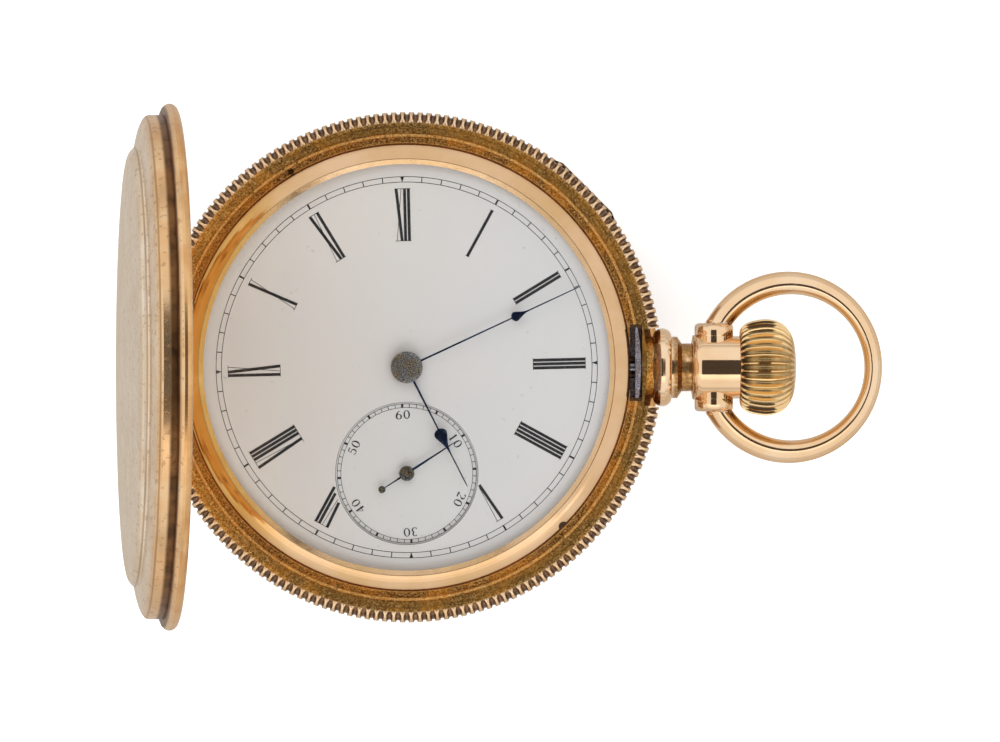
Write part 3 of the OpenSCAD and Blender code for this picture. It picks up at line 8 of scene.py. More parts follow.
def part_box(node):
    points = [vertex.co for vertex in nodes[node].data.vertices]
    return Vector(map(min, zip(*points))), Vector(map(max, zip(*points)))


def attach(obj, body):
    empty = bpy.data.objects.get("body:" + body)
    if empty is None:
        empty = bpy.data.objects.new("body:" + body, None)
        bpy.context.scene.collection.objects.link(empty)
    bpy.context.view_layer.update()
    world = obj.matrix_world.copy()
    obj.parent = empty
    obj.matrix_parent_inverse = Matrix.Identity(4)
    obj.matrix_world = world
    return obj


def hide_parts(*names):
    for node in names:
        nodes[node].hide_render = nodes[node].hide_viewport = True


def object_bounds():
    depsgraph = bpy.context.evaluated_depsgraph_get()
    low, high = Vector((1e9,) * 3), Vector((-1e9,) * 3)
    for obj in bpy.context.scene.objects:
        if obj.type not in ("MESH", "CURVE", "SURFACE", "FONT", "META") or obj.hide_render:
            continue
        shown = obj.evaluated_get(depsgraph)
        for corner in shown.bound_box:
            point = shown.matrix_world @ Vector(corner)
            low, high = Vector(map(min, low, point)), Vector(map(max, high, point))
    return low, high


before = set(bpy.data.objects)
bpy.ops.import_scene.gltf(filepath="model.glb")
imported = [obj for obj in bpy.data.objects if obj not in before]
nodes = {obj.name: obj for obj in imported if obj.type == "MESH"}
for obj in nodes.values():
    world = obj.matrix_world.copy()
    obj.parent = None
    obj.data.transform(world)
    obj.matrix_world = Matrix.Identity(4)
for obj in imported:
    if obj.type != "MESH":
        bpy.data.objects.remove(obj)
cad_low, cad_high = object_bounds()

# Case middle. The ring that the movement drops into is turned from fourteen carat gold, with the
# hinge knuckles soldered on. The trough that the front cover shuts on is never wiped, so the gold
# there has gone brown and grainy, with bright specks where it has been scraped.
MM = 0.001


class Value:
    """One output of a node. Arithmetic on it adds Math nodes to the same tree."""

    def __init__(self, wiring, socket):
        self.wiring = wiring
        self.socket = socket

    def math(self, operation, *others):
        return self.wiring.node("ShaderNodeMath", {"operation": operation}, (self, *others))

    def __add__(self, other):
        return self.math("ADD", other)

    def __sub__(self, other):
        return self.math("SUBTRACT", other)

    def __rsub__(self, other):
        return self.wiring.node("ShaderNodeMath", {"operation": "SUBTRACT"}, (other, self))

    def __mul__(self, other):
        return self.math("MULTIPLY", other)

    def __truediv__(self, other):
        return self.math("DIVIDE", other)

    def __pow__(self, other):
        return self.math("POWER", other)

    __radd__ = __add__
    __rmul__ = __mul__

    def rise(self, low, high):
        """0 below low, 1 above high and a smooth slope between."""
        sockets = {"Value": self, "From Min": low, "From Max": high}
        return self.wiring.node("ShaderNodeMapRange", {"interpolation_type": "SMOOTHSTEP"}, sockets)


def linear(hex_colour):
    """A colour read off the real piece, as Blender's linear numbers."""
    parts = [int(hex_colour[i : i + 2], 16) / 255 for i in (0, 2, 4)]
    return [c / 12.92 if c <= 0.04045 else ((c + 0.055) / 1.055) ** 2.4 for c in parts] + [1.0]


class Wiring:
    """A tree of nodes, wired up one node at a time."""

    def __init__(self, tree):
        self.tree = tree
        tree.nodes.clear()

    def node(self, kind, settings=None, inputs=(), out=0):
        """Any node: its settings first, then what each socket is set or linked to."""
        made = self.tree.nodes.new(kind)
        for name, value in (settings or {}).items():
            if name == "stops":
                elements = made.color_ramp.elements
                while len(elements) < len(value):
                    elements.new(0.5)
                for element, (at, colour) in zip(elements, value):
                    element.position = at
                    element.color = linear(colour)
            else:
                setattr(made, name, value)
        for key, value in inputs.items() if isinstance(inputs, dict) else enumerate(inputs):
            if isinstance(value, Value):
                self.tree.links.new(value.socket, made.inputs[key])
            else:
                made.inputs[key].default_value = linear(value) if isinstance(value, str) else value
        return Value(self, made.outputs[out]) if len(made.outputs) else None

    def mix(self, share, first, second):
        sockets = {0: share, 6: first, 7: second}
        return self.node("ShaderNodeMix", {"data_type": "RGBA"}, sockets, out=2)


class Finish(Wiring):
    """The material of one kind of surface."""

    def __init__(self, name):
        self.material = bpy.data.materials.new(name)
        self.material.use_nodes = True
        super().__init__(self.material.node_tree)
        self.place = self.node("ShaderNodeTexCoord", out="Object")

    def noise(self, per_mm, detail=2.0, rough=0.5, stretch=None):
        """Noise with so many bumps to the millimetre, drawn out along an axis by stretch."""
        place = self.place
        if stretch:
            place = self.node("ShaderNodeMapping", None, {"Vector": place, "Scale": stretch})
        sockets = {"Vector": place, "Scale": per_mm / MM, "Detail": detail, "Roughness": rough}
        return self.node("ShaderNodeTexNoise", None, sockets)

    def axis(self, letter):
        """A coordinate of the surface in millimetres."""
        return self.node("ShaderNodeSeparateXYZ", None, [self.place], out=letter) / MM

    def radius(self):
        """Distance in millimetres from the upright axis of the case."""
        across, up = self.axis("X"), self.axis("Y")
        return (across * across + up * up) ** 0.5

    def ramp(self, value, *stops):
        """The colours of the stops, at their places along a value."""
        return self.node("ShaderNodeValToRGB", {"stops": stops}, [value])

    def bump(self, height, depth_mm, under=None):
        sockets = {"Height": height, "Distance": depth_mm * MM}
        if under:
            sockets["Normal"] = under
        return self.node("ShaderNodeBump", None, sockets)

    def coat(self, shader):
        """Closes the finish on any shader."""
        self.node("ShaderNodeOutputMaterial", None, [shader])
        return self.material

    def done(self, **sockets):
        """Closes the finish on a Principled shader with these sockets."""
        named = {name.replace("_", " "): value for name, value in sockets.items()}
        return self.coat(self.node("ShaderNodeBsdfPrincipled", None, named))

    def metal(self, **sockets):
        return self.done(Metallic=1.0, **sockets)


def gold_tones(finish):
    """The colour of hand polished gold: paler where it is rubbed, redder where it is dull."""
    cloud = finish.noise(0.16, 3.0, 0.6)
    return finish.ramp(cloud, (0.3, "EEC698"), (0.5, "F3CFA6"), (0.72, "F7D9B6"))


def hairlines(finish, along):
    """Fine handling scratches, drawn out one way and broken up by a slower noise."""
    hairs = finish.noise(14.0, stretch=along)
    return hairs.rise(0.55, 0.75) * finish.noise(0.5, 1.0).rise(0.4, 0.65)


def handled(gold, tones, gloss, mark="C99561", along=(1.0, 1.0, 0.03)):
    """Closes a finish as polished gold with fine scratches of one colour and shallow dents."""
    scratch = hairlines(gold, along)
    dents = gold.bump(gold.noise(0.35), 0.012)
    return gold.metal(
        Base_Color=gold.mix(scratch * 0.35, tones, mark),
        Roughness=gloss + 0.1 * scratch + 0.05 * gold.noise(0.8, 3.0),
        Normal=gold.bump(scratch, 0.002, dents),
    )


def polished_gold(name, gloss=0.1, **looks):
    gold = Finish(name)
    return handled(gold, gold_tones(gold), gloss, **looks)


def brown_grain(finish):
    """Colour and height of the tarnished gold in the trough, with painted gold light from the open cover
    towards the hinge.
    """
    grain = finish.noise(5.5, 3.0, 0.7)
    patch = finish.noise(0.3, 3.0)
    dark = finish.ramp(grain, (0.34, "402A12"), (0.46, "8A6234"), (0.56, "C69A56"), (0.7, "F6D49A"))
    rich = finish.ramp(grain, (0.32, "80501A"), (0.5, "D4923A"), (0.7, "FFD084"))
    # Painted light: towards the hinge the grain takes the richer, brighter tones for the open cover's
    # gold light.
    painted_cover_light = 1 - finish.axis("X").rise(-24.0, -12.0)
    return finish.mix((painted_cover_light * 0.9).math("MAXIMUM", patch.rise(0.42, 0.6)), dark, rich), grain


def away_from_hinge(finish):
    """How much darker the seat is where the open cover doesn't throw its gold light on it."""
    return finish.axis("X").rise(-20.0, -8.0) * 0.45


SHADE_BROWN = "5E421E"
TROUGH_IN, FOOT_IN = 23.3, 24.35
RIDGE_IN, RIDGE_OUT, SEAT_OUT = 25.0, 25.25, 26.1
TROUGH_DEEP = 1.3
# Middle of a dark spot painted for the shade inside a slot near eleven.
PIT_X, PIT_Y = -12.55, 21.2


def trough_gold(floor):
    """Case gold: brown and grainy in the trough, rubbed bright on the ridge, with painted shade and a
    painted reflection.
    """
    case = Finish("case_gold")
    brown, grain = brown_grain(case)
    streak = case.noise(1.2, 3.0, 0.6)
    ochre = case.ramp(grain, (0.3, "6E4C22"), (0.5, "A0763A"), (0.7, "D0A868"))
    amber = case.ramp(grain, (0.3, "D2923E"), (0.6, "FFC97C"))
    r = case.radius()
    ring = r.rise(TROUGH_IN - 0.1, TROUGH_IN) * (1 - r.rise(SEAT_OUT, SEAT_OUT + 0.1))
    tarnish_and_shade = ring * case.axis("Z").rise(floor - 0.3, floor)
    # Painted reflection: the foot of the trough by the bezel is painted amber for the bezel's gold
    # mirrored in it.
    foot = 1 - r.rise(FOOT_IN - 0.05, FOOT_IN + 0.1)
    seat = r.rise(RIDGE_OUT, RIDGE_OUT + 0.1)
    rubbed = r.rise(RIDGE_IN - 0.1, RIDGE_IN) * (1 - seat) * streak.rise(0.3, 0.6)
    worn = case.mix(seat * streak.rise(0.35, 0.65) * 0.75, brown, ochre)
    # Painted shade: the seat away from the hinge is mixed towards shade brown.
    dull = case.mix(seat * away_from_hinge(case), worn, SHADE_BROWN)
    # Painted shade: a dark spot stands for the shade inside a slot that isn't cut.
    east, north = case.axis("X") - PIT_X, case.axis("Y") - PIT_Y
    slot_shade = 1 - (east * east + north * north).rise(0.07, 0.16)
    floor_tone = case.mix(slot_shade * 0.9, case.mix(foot * 0.8, dull, amber), "2A1C10")
    return case.metal(
        Base_Color=case.mix(tarnish_and_shade, gold_tones(case), case.mix(rubbed, floor_tone, amber)),
        Roughness=0.12 + tarnish_and_shade * (0.3 + 0.12 * grain - 0.1 * rubbed),
        Normal=case.bump(grain * tarnish_and_shade * (1 - 0.6 * rubbed), 0.09),
    )


def dress(names, material):
    """Gives CAD pieces their finish. Their smooth faces come with the frame."""
    for name in names:
        mesh = nodes[name].data
        mesh.materials.clear()
        mesh.materials.append(material)


dress(["case_middle"], trough_gold(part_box("case_middle")[1].z / MM - TROUGH_DEEP))
dress(["front_hinge_pin", "back_hinge_pin"], polished_gold("pin_gold"))


# Coin edge. A bead of gold round the case, cut with 180 upright reeds by a forming wheel. Each reed
# is a thin crest that swells to a round head, between hollows painted a darker, duller brown.
REEDS = 180
band_low, band_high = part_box("reeded_band")
band_foot, band_top = band_low.z / MM, band_high.z / MM
# Radius of crest and of hollow, half width of the hollow, depth of crest and of hollow.
reed_profile = [
    (26.02, 26.02, 0.9, 0.0, 0.0), (26.4, 26.4, 0.75, 0.0, 0.0), (26.62, 26.66, 0.4, 0.0, 0.3),
    (26.95, 26.9, 0.72, 0.07, 0.75), (27.3, 27.12, 0.72, 0.28, 1.2), (27.58, 27.3, 0.5, 0.66, 1.6),
    (27.7, 27.4, 0.46, 1.2, 2.0), (27.74, 27.48, 0.5, 2.2, 2.2), (27.75, 27.52, 0.56, 3.0, 3.0),
]


def skin(bm, rows, around=True, loop=False):
    """Faces between rows of points in millimetres. A tube is capped unless its rows make a loop."""
    made = [[bm.verts.new([c * MM for c in point]) for point in row] for row in rows]
    for row, after in zip(made, made[1:] + made[:1] if loop else made[1:]):
        for i in range(len(row) if around else len(row) - 1):
            j = (i + 1) % len(row)
            bm.faces.new((row[i], row[j], after[j], after[i]))
    if around and not loop:
        bm.faces.new(made[0])
        bm.faces.new(made[-1])


def closed(bm, mesh, *materials):
    """Turns all faces outwards and hands the shape over to a mesh."""
    bmesh.ops.recalc_face_normals(bm, faces=bm.faces)
    bm.to_mesh(mesh)
    bm.free()
    for material in materials:
        mesh.materials.append(material)
    return mesh


def shaded_mesh(name, rows, loop=False):
    """An open skin over rows of (x, y, z, hollow). Finishes read from hollow where dirt settles."""
    bm = bmesh.new()
    shade = bm.verts.layers.float.new("hollow")
    skin(bm, [[point[:3] for point in row] for row in rows], around=False, loop=loop)
    for vertex, point in zip(bm.verts, [point for row in rows for point in row]):
        vertex[shade] = point[3]
    return closed(bm, bpy.data.meshes.new(name))


def reed_mesh():
    """One reed, from the middle of a crest to the middle of the next."""
    top = [(c, h, w, band_top - z, band_top - deep) for c, h, w, z, deep in reed_profile]
    below = [
        (c, h, w, band_top + band_foot - z, band_top + band_foot - deep)
        for c, h, w, z, deep in reversed(top[:-1])
    ]
    rows = []
    for crest, hollow, width, z, deep in top + below:
        row = []
        for share in (-1.0, -0.9, -0.6, 0.0, 0.6, 0.9, 1.0):
            bowl = math.sqrt(1 - share * share)
            dip = bowl if abs(share) < 0.9 else 0.0
            turn = share if abs(share) == 1.0 else share * width / 0.9
            r, a = crest + (hollow - crest) * dip, turn * math.pi / REEDS
            row.append((r * math.cos(a), r * math.sin(a), z + (deep - z) * dip, bowl))
        rows.append(row)
    return shaded_mesh("reed", rows, loop=True)


def new_object(name, mesh):
    made = bpy.data.objects.new(name, mesh)
    bpy.context.scene.collection.objects.link(made)
    return made


def round_tree(name):
    """A tree that sets the object's mesh round an axis, but not in the gaps at three and nine."""
    tree = bpy.data.node_groups.new(name, "GeometryNodeTree")
    for label, kind in (
        ("Geometry", "Geometry"),
        ("Count", "Int"),
        ("Axis", "Vector"),
        ("Gap right", "Float"),
        ("Gap left", "Float"),
        ("Finish", "Material"),
    ):
        tree.interface.new_socket(label, in_out="INPUT", socket_type="NodeSocket" + kind)
    tree.interface.new_socket("Geometry", in_out="OUTPUT", socket_type="NodeSocketGeometry")
    ring = Wiring(tree)

    def given(label):
        return ring.node("NodeGroupInput", out=label)

    def step(kind, **sockets):
        return ring.node("GeometryNode" + kind, None, sockets)

    points = step("Points", Count=given("Count"))
    angle = ring.node("GeometryNodeInputIndex") / given("Count") * math.tau
    ahead = angle.math("COSINE").math("GREATER_THAN", 0.0)
    gap = ahead * given("Gap right") + (1 - ahead) * given("Gap left")
    clear = angle.math("SINE").math("ABSOLUTE").math("GREATER_THAN", gap)
    turn = {"Axis": given("Axis"), "Angle": angle}
    spin = ring.node("FunctionNodeAxisAngleToRotation", None, turn)
    seed = given("Geometry")
    copies = step("InstanceOnPoints", Points=points, Selection=clear, Instance=seed, Rotation=spin)
    real = step("RealizeInstances", Geometry=copies)
    welded = step("MergeByDistance", Geometry=real, Distance=0.001 * MM)
    painted = step("SetMaterial", Geometry=welded, Material=given("Finish"))
    ring.node("NodeGroupOutput", None, [painted])
    return tree


def set_round(name, mesh, material, count, axis=(0, 0, 1), gaps=(-1.0, -1.0)):
    """The mesh repeated round an axis through the origin, as one plain closed mesh."""
    seed = new_object(name + "_seed", mesh)
    tree = round_tree(name + "_round")
    modifier = seed.modifiers.new("round", "NODES")
    modifier.node_group = tree
    values = {"Count": count, "Axis": axis, "Finish": material}
    values["Gap right"], values["Gap left"] = gaps
    for item in tree.interface.items_tree:
        if item.in_out == "INPUT" and item.name in values:
            modifier[item.identifier] = values[item.name]
    depsgraph = bpy.context.evaluated_depsgraph_get()
    result = bpy.data.meshes.new_from_object(seed.evaluated_get(depsgraph))
    bpy.data.objects.remove(seed)
    result.name = name
    bm = bmesh.new()
    bm.from_mesh(result)
    bmesh.ops.holes_fill(bm, edges=[e for e in bm.edges if e.is_boundary], sides=0)
    return new_object(name, closed(bm, result))


def smooth(piece, sharp_degrees=38.0):
    mesh = piece.data
    mesh.polygons.foreach_set("use_smooth", [True] * len(mesh.polygons))
    mesh.set_sharp_from_angle(angle=math.radians(sharp_degrees))
    return piece


def fit(piece, body, slot, *replaced):
    """Hangs a finished piece on its body, in place of the CAD nodes that it stands for."""
    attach(piece, body)
    if replaced:
        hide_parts(*replaced)


def coin_gold():
    """Pale on the crests, brown and duller down in the hollows, and grainy where the seat begins, with
    painted shade on the seat away from the hinge.
    """
    coin = Finish("coin_gold")
    hollow = coin.node("ShaderNodeAttribute", {"attribute_name": "hollow"}, out="Fac")
    brown, grain = brown_grain(coin)
    seat = 1 - coin.radius().rise(26.45, 26.62)
    scallop = (1 - seat) * hollow
    # The hollows are painted darker, duller and less metallic, in patches.
    hollow_dark = scallop.rise(0.15, 0.6) * coin.noise(2.4, 3.0).rise(0.1, 0.4)
    tone = coin.ramp(coin.noise(1.6, 3.0), (0.35, "4A2E16"), (0.55, "845A2E"), (0.7, "AE855A"))
    clean = coin.mix(hollow_dark * 0.92, gold_tones(coin), tone)
    # Painted shade: on the seat away from the hinge the colour is mixed towards shade brown.
    return coin.done(
        Base_Color=coin.mix(seat, clean, coin.mix(away_from_hinge(coin), brown, SHADE_BROWN)),
        Metallic=1.0 - 0.3 * hollow_dark,
        Roughness=0.13 + 0.2 * hollow_dark + 0.32 * seat,
        Normal=coin.bump(grain, 0.05),
    )


reed_gaps = (4.3 / 27.2, 5.1 / 27.2)
reeds = set_round("coin_edge", reed_mesh(), coin_gold(), REEDS, gaps=reed_gaps)
fit(smooth(reeds, 60.0), "case", "gold", "reeded_band")


# Pendant and bow. The pendant is turned gold tube: a bulge against the case, a step, a neck and a
# barrel with two bored ears. The bow is round wire, flattened and pinned where it enters the ears.
crown_low, crown_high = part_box("crown")
stem_z = (crown_low.z + crown_high.z) / 2 / MM
EAR_X = 33.36
EAR_FACE = 4.85
PIN_RADIUS = 0.8
BOW_X = 41.3
BOW_END = math.radians(146.0)
BOW_STEPS = 96
WIRE_STEPS = 28


def bow_ring(turn):
    """One section of the wire: its crest lies a little inside its middle, and it thins to the front."""
    c, s = math.cos(turn), math.sin(turn)
    reach = 9.02 + 0.356 * c - 0.086 * c * c
    share = min(1.0, abs(turn) / 1.92)
    wire = 0.975 + 0.305 * share * share * (3 - 2 * share)
    ring = []
    for k in range(WIRE_STEPS):
        a = math.tau * k / WIRE_STEPS
        out, up = math.cos(a), math.sin(a)
        out = 1.12 * out**1.5 if out > 0 else -0.88 * abs(out) ** 1.15
        up = math.copysign(abs(up) ** 1.2, up)
        r = reach + wire * out
        ring.append(Vector((BOW_X + r * c, r * s, stem_z + wire * up)))
    return ring


def bow_mesh(material):
    """The loop of wire, cut flat where it meets the ears, with a pin in each end."""
    bm = bmesh.new()
    rings = []
    for k in range(BOW_STEPS + 1):
        turn = BOW_END * (2 * k / BOW_STEPS - 1)
        ring = bow_ring(turn)
        if k in (0, BOW_STEPS):
            way = Vector((-math.sin(turn), math.cos(turn), 0.0))
            side = math.copysign(EAR_FACE, turn)
            ring = [p + way * ((side - p.y) / way.y) for p in ring]
        rings.append(ring)
    skin(bm, rings)
    turns = [math.tau * k / 32 for k in range(32)]
    circle = [(EAR_X + PIN_RADIUS * math.cos(a), stem_z + PIN_RADIUS * math.sin(a)) for a in turns]
    for side in (-1, 1):
        skin(bm, [[(x, side * y, z) for x, z in circle] for y in (EAR_FACE + 0.3, EAR_FACE - 1.25)])
    return closed(bm, bpy.data.meshes.new("bow_wire"), material)


def pendant_finish():
    """Polished where it is handled, brown in the neck and on the face against the case, with painted
    amber shade where the bulge starts.
    """
    gold = Finish("pendant_gold")
    brown, grain = brown_grain(gold)
    scratch = hairlines(gold, (0.03, 1.0, 1.0))
    x = gold.axis("X")
    hidden = 1 - x.rise(26.6, 26.75)
    neck = x.rise(28.6, 29.2) * (1 - x.rise(30.9, 31.5))
    # Painted shade: the band where the bulge starts by the case is painted amber, like the neck.
    edge = (1 - x.rise(27.0, 27.7)) * 0.8
    neck_amber_and_shade = neck.math("MAXIMUM", edge) * gold.noise(1.3, 3.0).rise(0.2, 0.5)
    amber = gold.ramp(gold.noise(3.0), (0.35, "7E5424"), (0.6, "C08C48"), (0.75, "E4B878"))
    clean = gold.mix(scratch * 0.3, gold_tones(gold), "C99561")
    swell = (gold.axis("Y").math("ABSOLUTE") - 3.75).math("MAXIMUM", -0.35)
    flare = (x - 32.2).math("MINIMUM", 0.0).math("MAXIMUM", -1.1)
    form = gold.bump(1 - swell * swell * 0.36 - flare * flare * 0.38, 1.0)
    return gold.metal(
        Base_Color=gold.mix(hidden, gold.mix(neck_amber_and_shade * 0.9, clean, amber), brown),
        Roughness=0.07 + 0.08 * scratch + 0.3 * hidden + 0.26 * neck_amber_and_shade,
        Normal=gold.bump(grain * (hidden + 0.15 * neck_amber_and_shade), 0.05, form),
    )


dress(["pendant"], pendant_finish())
bow_gold = polished_gold("bow_gold", along=(1.0, 0.03, 1.0))
fit(smooth(new_object("bow_wire", bow_mesh(bow_gold))), "bow", "gold", "bow")


# Movement plates. Three quarter plate movement in nickelled brass, ruled with broad damask stripes
# that catch the light band by band. The arbors run in ruby jewels and the screws are blued steel.
def damask(name, turn, stripe_mm=1.6, comb=40.0):
    plate = Finish(name)
    x, y = plate.axis("X"), plate.axis("Y")
    wander = plate.noise(0.25) * 0.7
    across = x * math.cos(turn) + y * math.sin(turn) + wander
    along = y * math.cos(turn) - x * math.sin(turn) + wander
    band = (across * (math.tau / stripe_mm)).math("SINE") * 0.5 + 0.5
    line = (along * comb).math("SINE") * 0.5 + 0.5
    return plate.metal(
        Base_Color=plate.ramp(band, (0.1, "9C9A90"), (0.5, "BDBBB0"), (0.9, "DAD8CC")),
        Roughness=0.2 + 0.18 * band + 0.06 * line,
        Normal=plate.bump(band + line * 0.1, 0.01),
    )


def gilt_brass(name):
    gilt = Finish(name)
    frost = gilt.noise(9.0, 3.0)
    return gilt.metal(
        Base_Color=gilt.ramp(gilt.noise(0.4), (0.3, "C2964A"), (0.55, "D3AC60"), (0.75, "E2C079")),
        Roughness=0.24 + 0.16 * frost,
        Normal=gilt.bump(frost, 0.006),
    )


def grained_steel(name, low="6E747C", high="A2A7AC", along=(1.0, 0.04, 1.0)):
    steel = Finish(name)
    grain = steel.noise(12.0, 3.0, stretch=along)
    cloud = steel.noise(0.6).rise(0.3, 0.7)
    return steel.metal(
        Base_Color=steel.mix(cloud * 0.5 + grain * 0.3, low, high),
        Roughness=0.2 + 0.16 * grain,
        Normal=steel.bump(grain, 0.004),
    )


def blued_steel(name, gloss):
    """Steel heated until it turns blue, with purple where it went a little too far."""
    blue = Finish(name)
    fleck = blue.noise(7.0, 3.0).rise(0.56, 0.7)
    tone = blue.ramp(blue.noise(0.9, 3.0), (0.3, "141C30"), (0.55, "22304E"), (0.75, "3A4C6C"))
    return blue.metal(
        Base_Color=blue.mix(fleck * 0.6, tone, "8393AA"),
        Roughness=gloss + 0.15 * fleck,
        Normal=blue.bump(blue.noise(3.0), 0.004),
    )


def polished_ruby():
    ruby = Finish("polished_ruby")
    cloud = ruby.noise(2.5)
    return ruby.done(
        Base_Color=ruby.ramp(cloud, (0.3, "7C0F2A"), (0.6, "B01E44"), (0.8, "CF3E66")),
        Roughness=0.04 + 0.08 * cloud,
        IOR=1.76,
        Transmission_Weight=0.25,
    )


gilt = gilt_brass("gilt_brass")
works_steel = grained_steel("works_steel")
dress(["pillar_plate", "top_plate"], damask("plate_nickel", 0.6))
dress(["barrel_bridge", "balance_cock"], damask("bridge_nickel", -0.5))
dress(["pillars"], gilt)
dress(["movement_screws", "case_screws"], blued_steel("screw_blue", 0.14))
dress(["plate_jewels"], polished_ruby())
dress(["hairspring_stud", "click_spring", "setting_posts", "pendant_sleeve"], works_steel)


# Going train and escapement. Brass wheels on steel arbors, a drum that holds the mainspring, and a
# balance with timing screws round its rim on a blued hairspring. Each wheel is its own piece.
arbor_steel = grained_steel("arbor_steel", "8A9097", "C2C6CA", (1.0, 1.0, 0.05))
dress(["barrel", "barrel_cap", "center_wheel", "third_wheel", "fourth_wheel"], gilt)
dress(["escape_wheel", "pallet_fork"], arbor_steel)
dress(["balance_wheel", "balance_screws"], gilt_brass("balance_gold"))
dress(["balance_staff", "barrel_arbor", "regulator"], arbor_steel)
dress(["roller"], polished_ruby())
dress(["hairspring", "mainspring"], blued_steel("spring_blue", 0.12))


# Keyless work and motion work. The steel wheels under the crown wind the drum or, with the lever
# out, set the hands through the minute wheel. Their flats are grained, and their teeth are bright.
wheel_steel = grained_steel("wheel_steel", "7A8088", "B4B8BC")
dress(["crown_wheel", "ratchet_wheel", "click"], wheel_steel)
dress(["winding_stem", "winding_pinion", "clutch"], arbor_steel)
dress(["minute_wheel", "setting_wheel"], works_steel)
dress(["hour_wheel"], gilt)


# Dial. Copper disc fired with white enamel, with a sunk seconds dial soldered in slightly askew. The
# figures and tracks are painted on and fired, so they stand proud by the thickness of the paint.
def fired_enamel(name, pale, warm):
    """White enamel, with painted warm light from the open gold cover on the side under it."""
    enamel = Finish(name)
    drift = enamel.noise(0.05).rise(0.3, 0.7)
    # Painted light: the side under the open cover is mixed towards the warm tone for the cover's gold
    # light.
    side = 1 - enamel.axis("X").rise(-20.0, 10.0)
    speck = enamel.noise(2.2, 1.0).rise(0.74, 0.78)
    tone = enamel.mix(side * 0.75 + drift * 0.25, pale, warm)
    return enamel.done(
        Base_Color=enamel.mix(speck * 0.3, tone, "86837F"),
        Roughness=0.16 + 0.08 * enamel.noise(0.6),
        Normal=enamel.bump(enamel.noise(0.2, 1.0), 0.01),
    )


def fired_paint():
    ink = Finish("fired_black")
    thin = ink.noise(5.0, 3.0)
    return ink.done(
        Base_Color=ink.ramp(thin, (0.35, "17171A"), (0.6, "26262A"), (0.75, "45454A")),
        Roughness=0.35 + 0.2 * thin,
    )


black = fired_paint()
dress(["dial"], fired_enamel("dial_enamel", "CAC9CB", "D5CDC6"))
dress(["seconds_dial"], fired_enamel("sunk_enamel", "CBCBCC", "D0CBC7"))
dress(["dial_feet"], gilt_brass("foot_copper"))

dial_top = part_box("dial")[1].z / MM
sunk_low, sunk_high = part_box("seconds_dial")
seconds_y = (sunk_low.y + sunk_high.y) / 2 / MM
SUNK_RADIUS = 7.75
PAINT_LOW, PAINT_TOP = 0.002, 0.015
STROKE_STEPS = 40


class Paint:
    """Strokes of paint on one flat of enamel, in a single mesh. hole is x, y and radius."""

    def __init__(self, name, z, middle_y=0.0, hole=None):
        self.name = name
        self.bm = bmesh.new()
        self.z = z
        self.middle_y = middle_y
        self.hole = hole

    def slab(self, corners):
        skin(self.bm, [[(x, y, self.z + lift) for x, y in corners] for lift in (PAINT_LOW, PAINT_TOP)])

    def polar(self, r, degrees, side=0.0):
        """A point r out from the middle, moved sideways round the dial."""
        a = math.radians(degrees)
        x = r * math.cos(a) + side * math.sin(a)
        return x, self.middle_y + r * math.sin(a) - side * math.cos(a)

    def outside(self, point):
        return self.hole is None or math.dist(point, self.hole[:2]) > self.hole[2]

    def stroke(self, degrees, start, end, wide, wide_end=None):
        """A straight stroke between two (side, radius) points, as far as it is outside the hole."""
        a = Vector(self.polar(start[1], degrees, start[0]))
        b = Vector(self.polar(end[1], degrees, end[0]))
        shares = [k / STROKE_STEPS for k in range(STROKE_STEPS + 1)]
        seen = [share for share in shares if self.outside(a.lerp(b, share))]
        if not seen:
            return
        taper = 0.0 if wide_end is None else wide_end - wide
        across = (b - a).normalized().orthogonal() / 2
        near, far = seen[0], seen[-1]
        p, q = a.lerp(b, near), a.lerp(b, far)
        wp, wq = across * (wide + taper * near), across * (wide + taper * far)
        self.slab([p - wp, q - wq, q + wq, p + wp])

    def circle(self, r, wide, steps):
        """A painted circle, broken where it would cross the hole."""
        inner, outer = r - wide / 2, r + wide / 2
        for k in range(steps):
            a0, a1 = 360 * k / steps, 360 * (k + 1) / steps
            if self.outside(self.polar(r, (a0 + a1) / 2)):
                corners = [(outer, a0), (outer, a1), (inner, a1), (inner, a0)]
                self.slab([self.polar(*corner) for corner in corners])

    def finish(self):
        bmesh.ops.remove_doubles(self.bm, verts=self.bm.verts, dist=0.0001 * MM)
        mesh = closed(self.bm, bpy.data.meshes.new(self.name), black)
        fit(new_object(self.name, mesh), "case", "enamel")


DIAL_TURN, SUNK_TURN = 1.4, 3.9
TRACK_OUT, TRACK_IN = 20.65, 20.07
NUMERAL_TOP, NUMERAL_FOOT = 19.35, 13.7
THICK, THIN = 0.32, 0.06
numerals = ["XII", "I", "II", "III", "IIII", "V", None, "VII", "VIII", "IX", "X", "XI"]
letter_width = {"I": 0.42, "V": 0.92, "X": 0.86}
# Each stroke of a letter: how far it leans at the top and at the foot, and its width.
letter_strokes = {
    "I": [(0, 0, THICK)],
    "V": [(-1, 0, THICK), (1, 0, THIN)],
    "X": [(-1, 1, THICK), (1, -1, THIN)],
}


def roman(paint, text, degrees):
    """A tall painted numeral: thick and thin strokes with hairline serifs, its foot to the centre."""
    total = sum(letter_width[letter] for letter in text)
    left = -total / 2
    for letter in text:
        middle = left + letter_width[letter] / 2
        lean = letter_width[letter] / 2 - 0.16
        for top, foot, wide in letter_strokes[letter]:
            start = (middle + top * lean, NUMERAL_TOP)
            paint.stroke(degrees, start, (middle + foot * lean, NUMERAL_FOOT), wide)
        left += letter_width[letter]
    edge = total / 2 + 0.02
    foot_edge = 0.16 if text == "V" else edge
    for r, half in ((NUMERAL_TOP, edge), (NUMERAL_FOOT, foot_edge)):
        paint.stroke(degrees, (-half, r), (half, r), THIN)


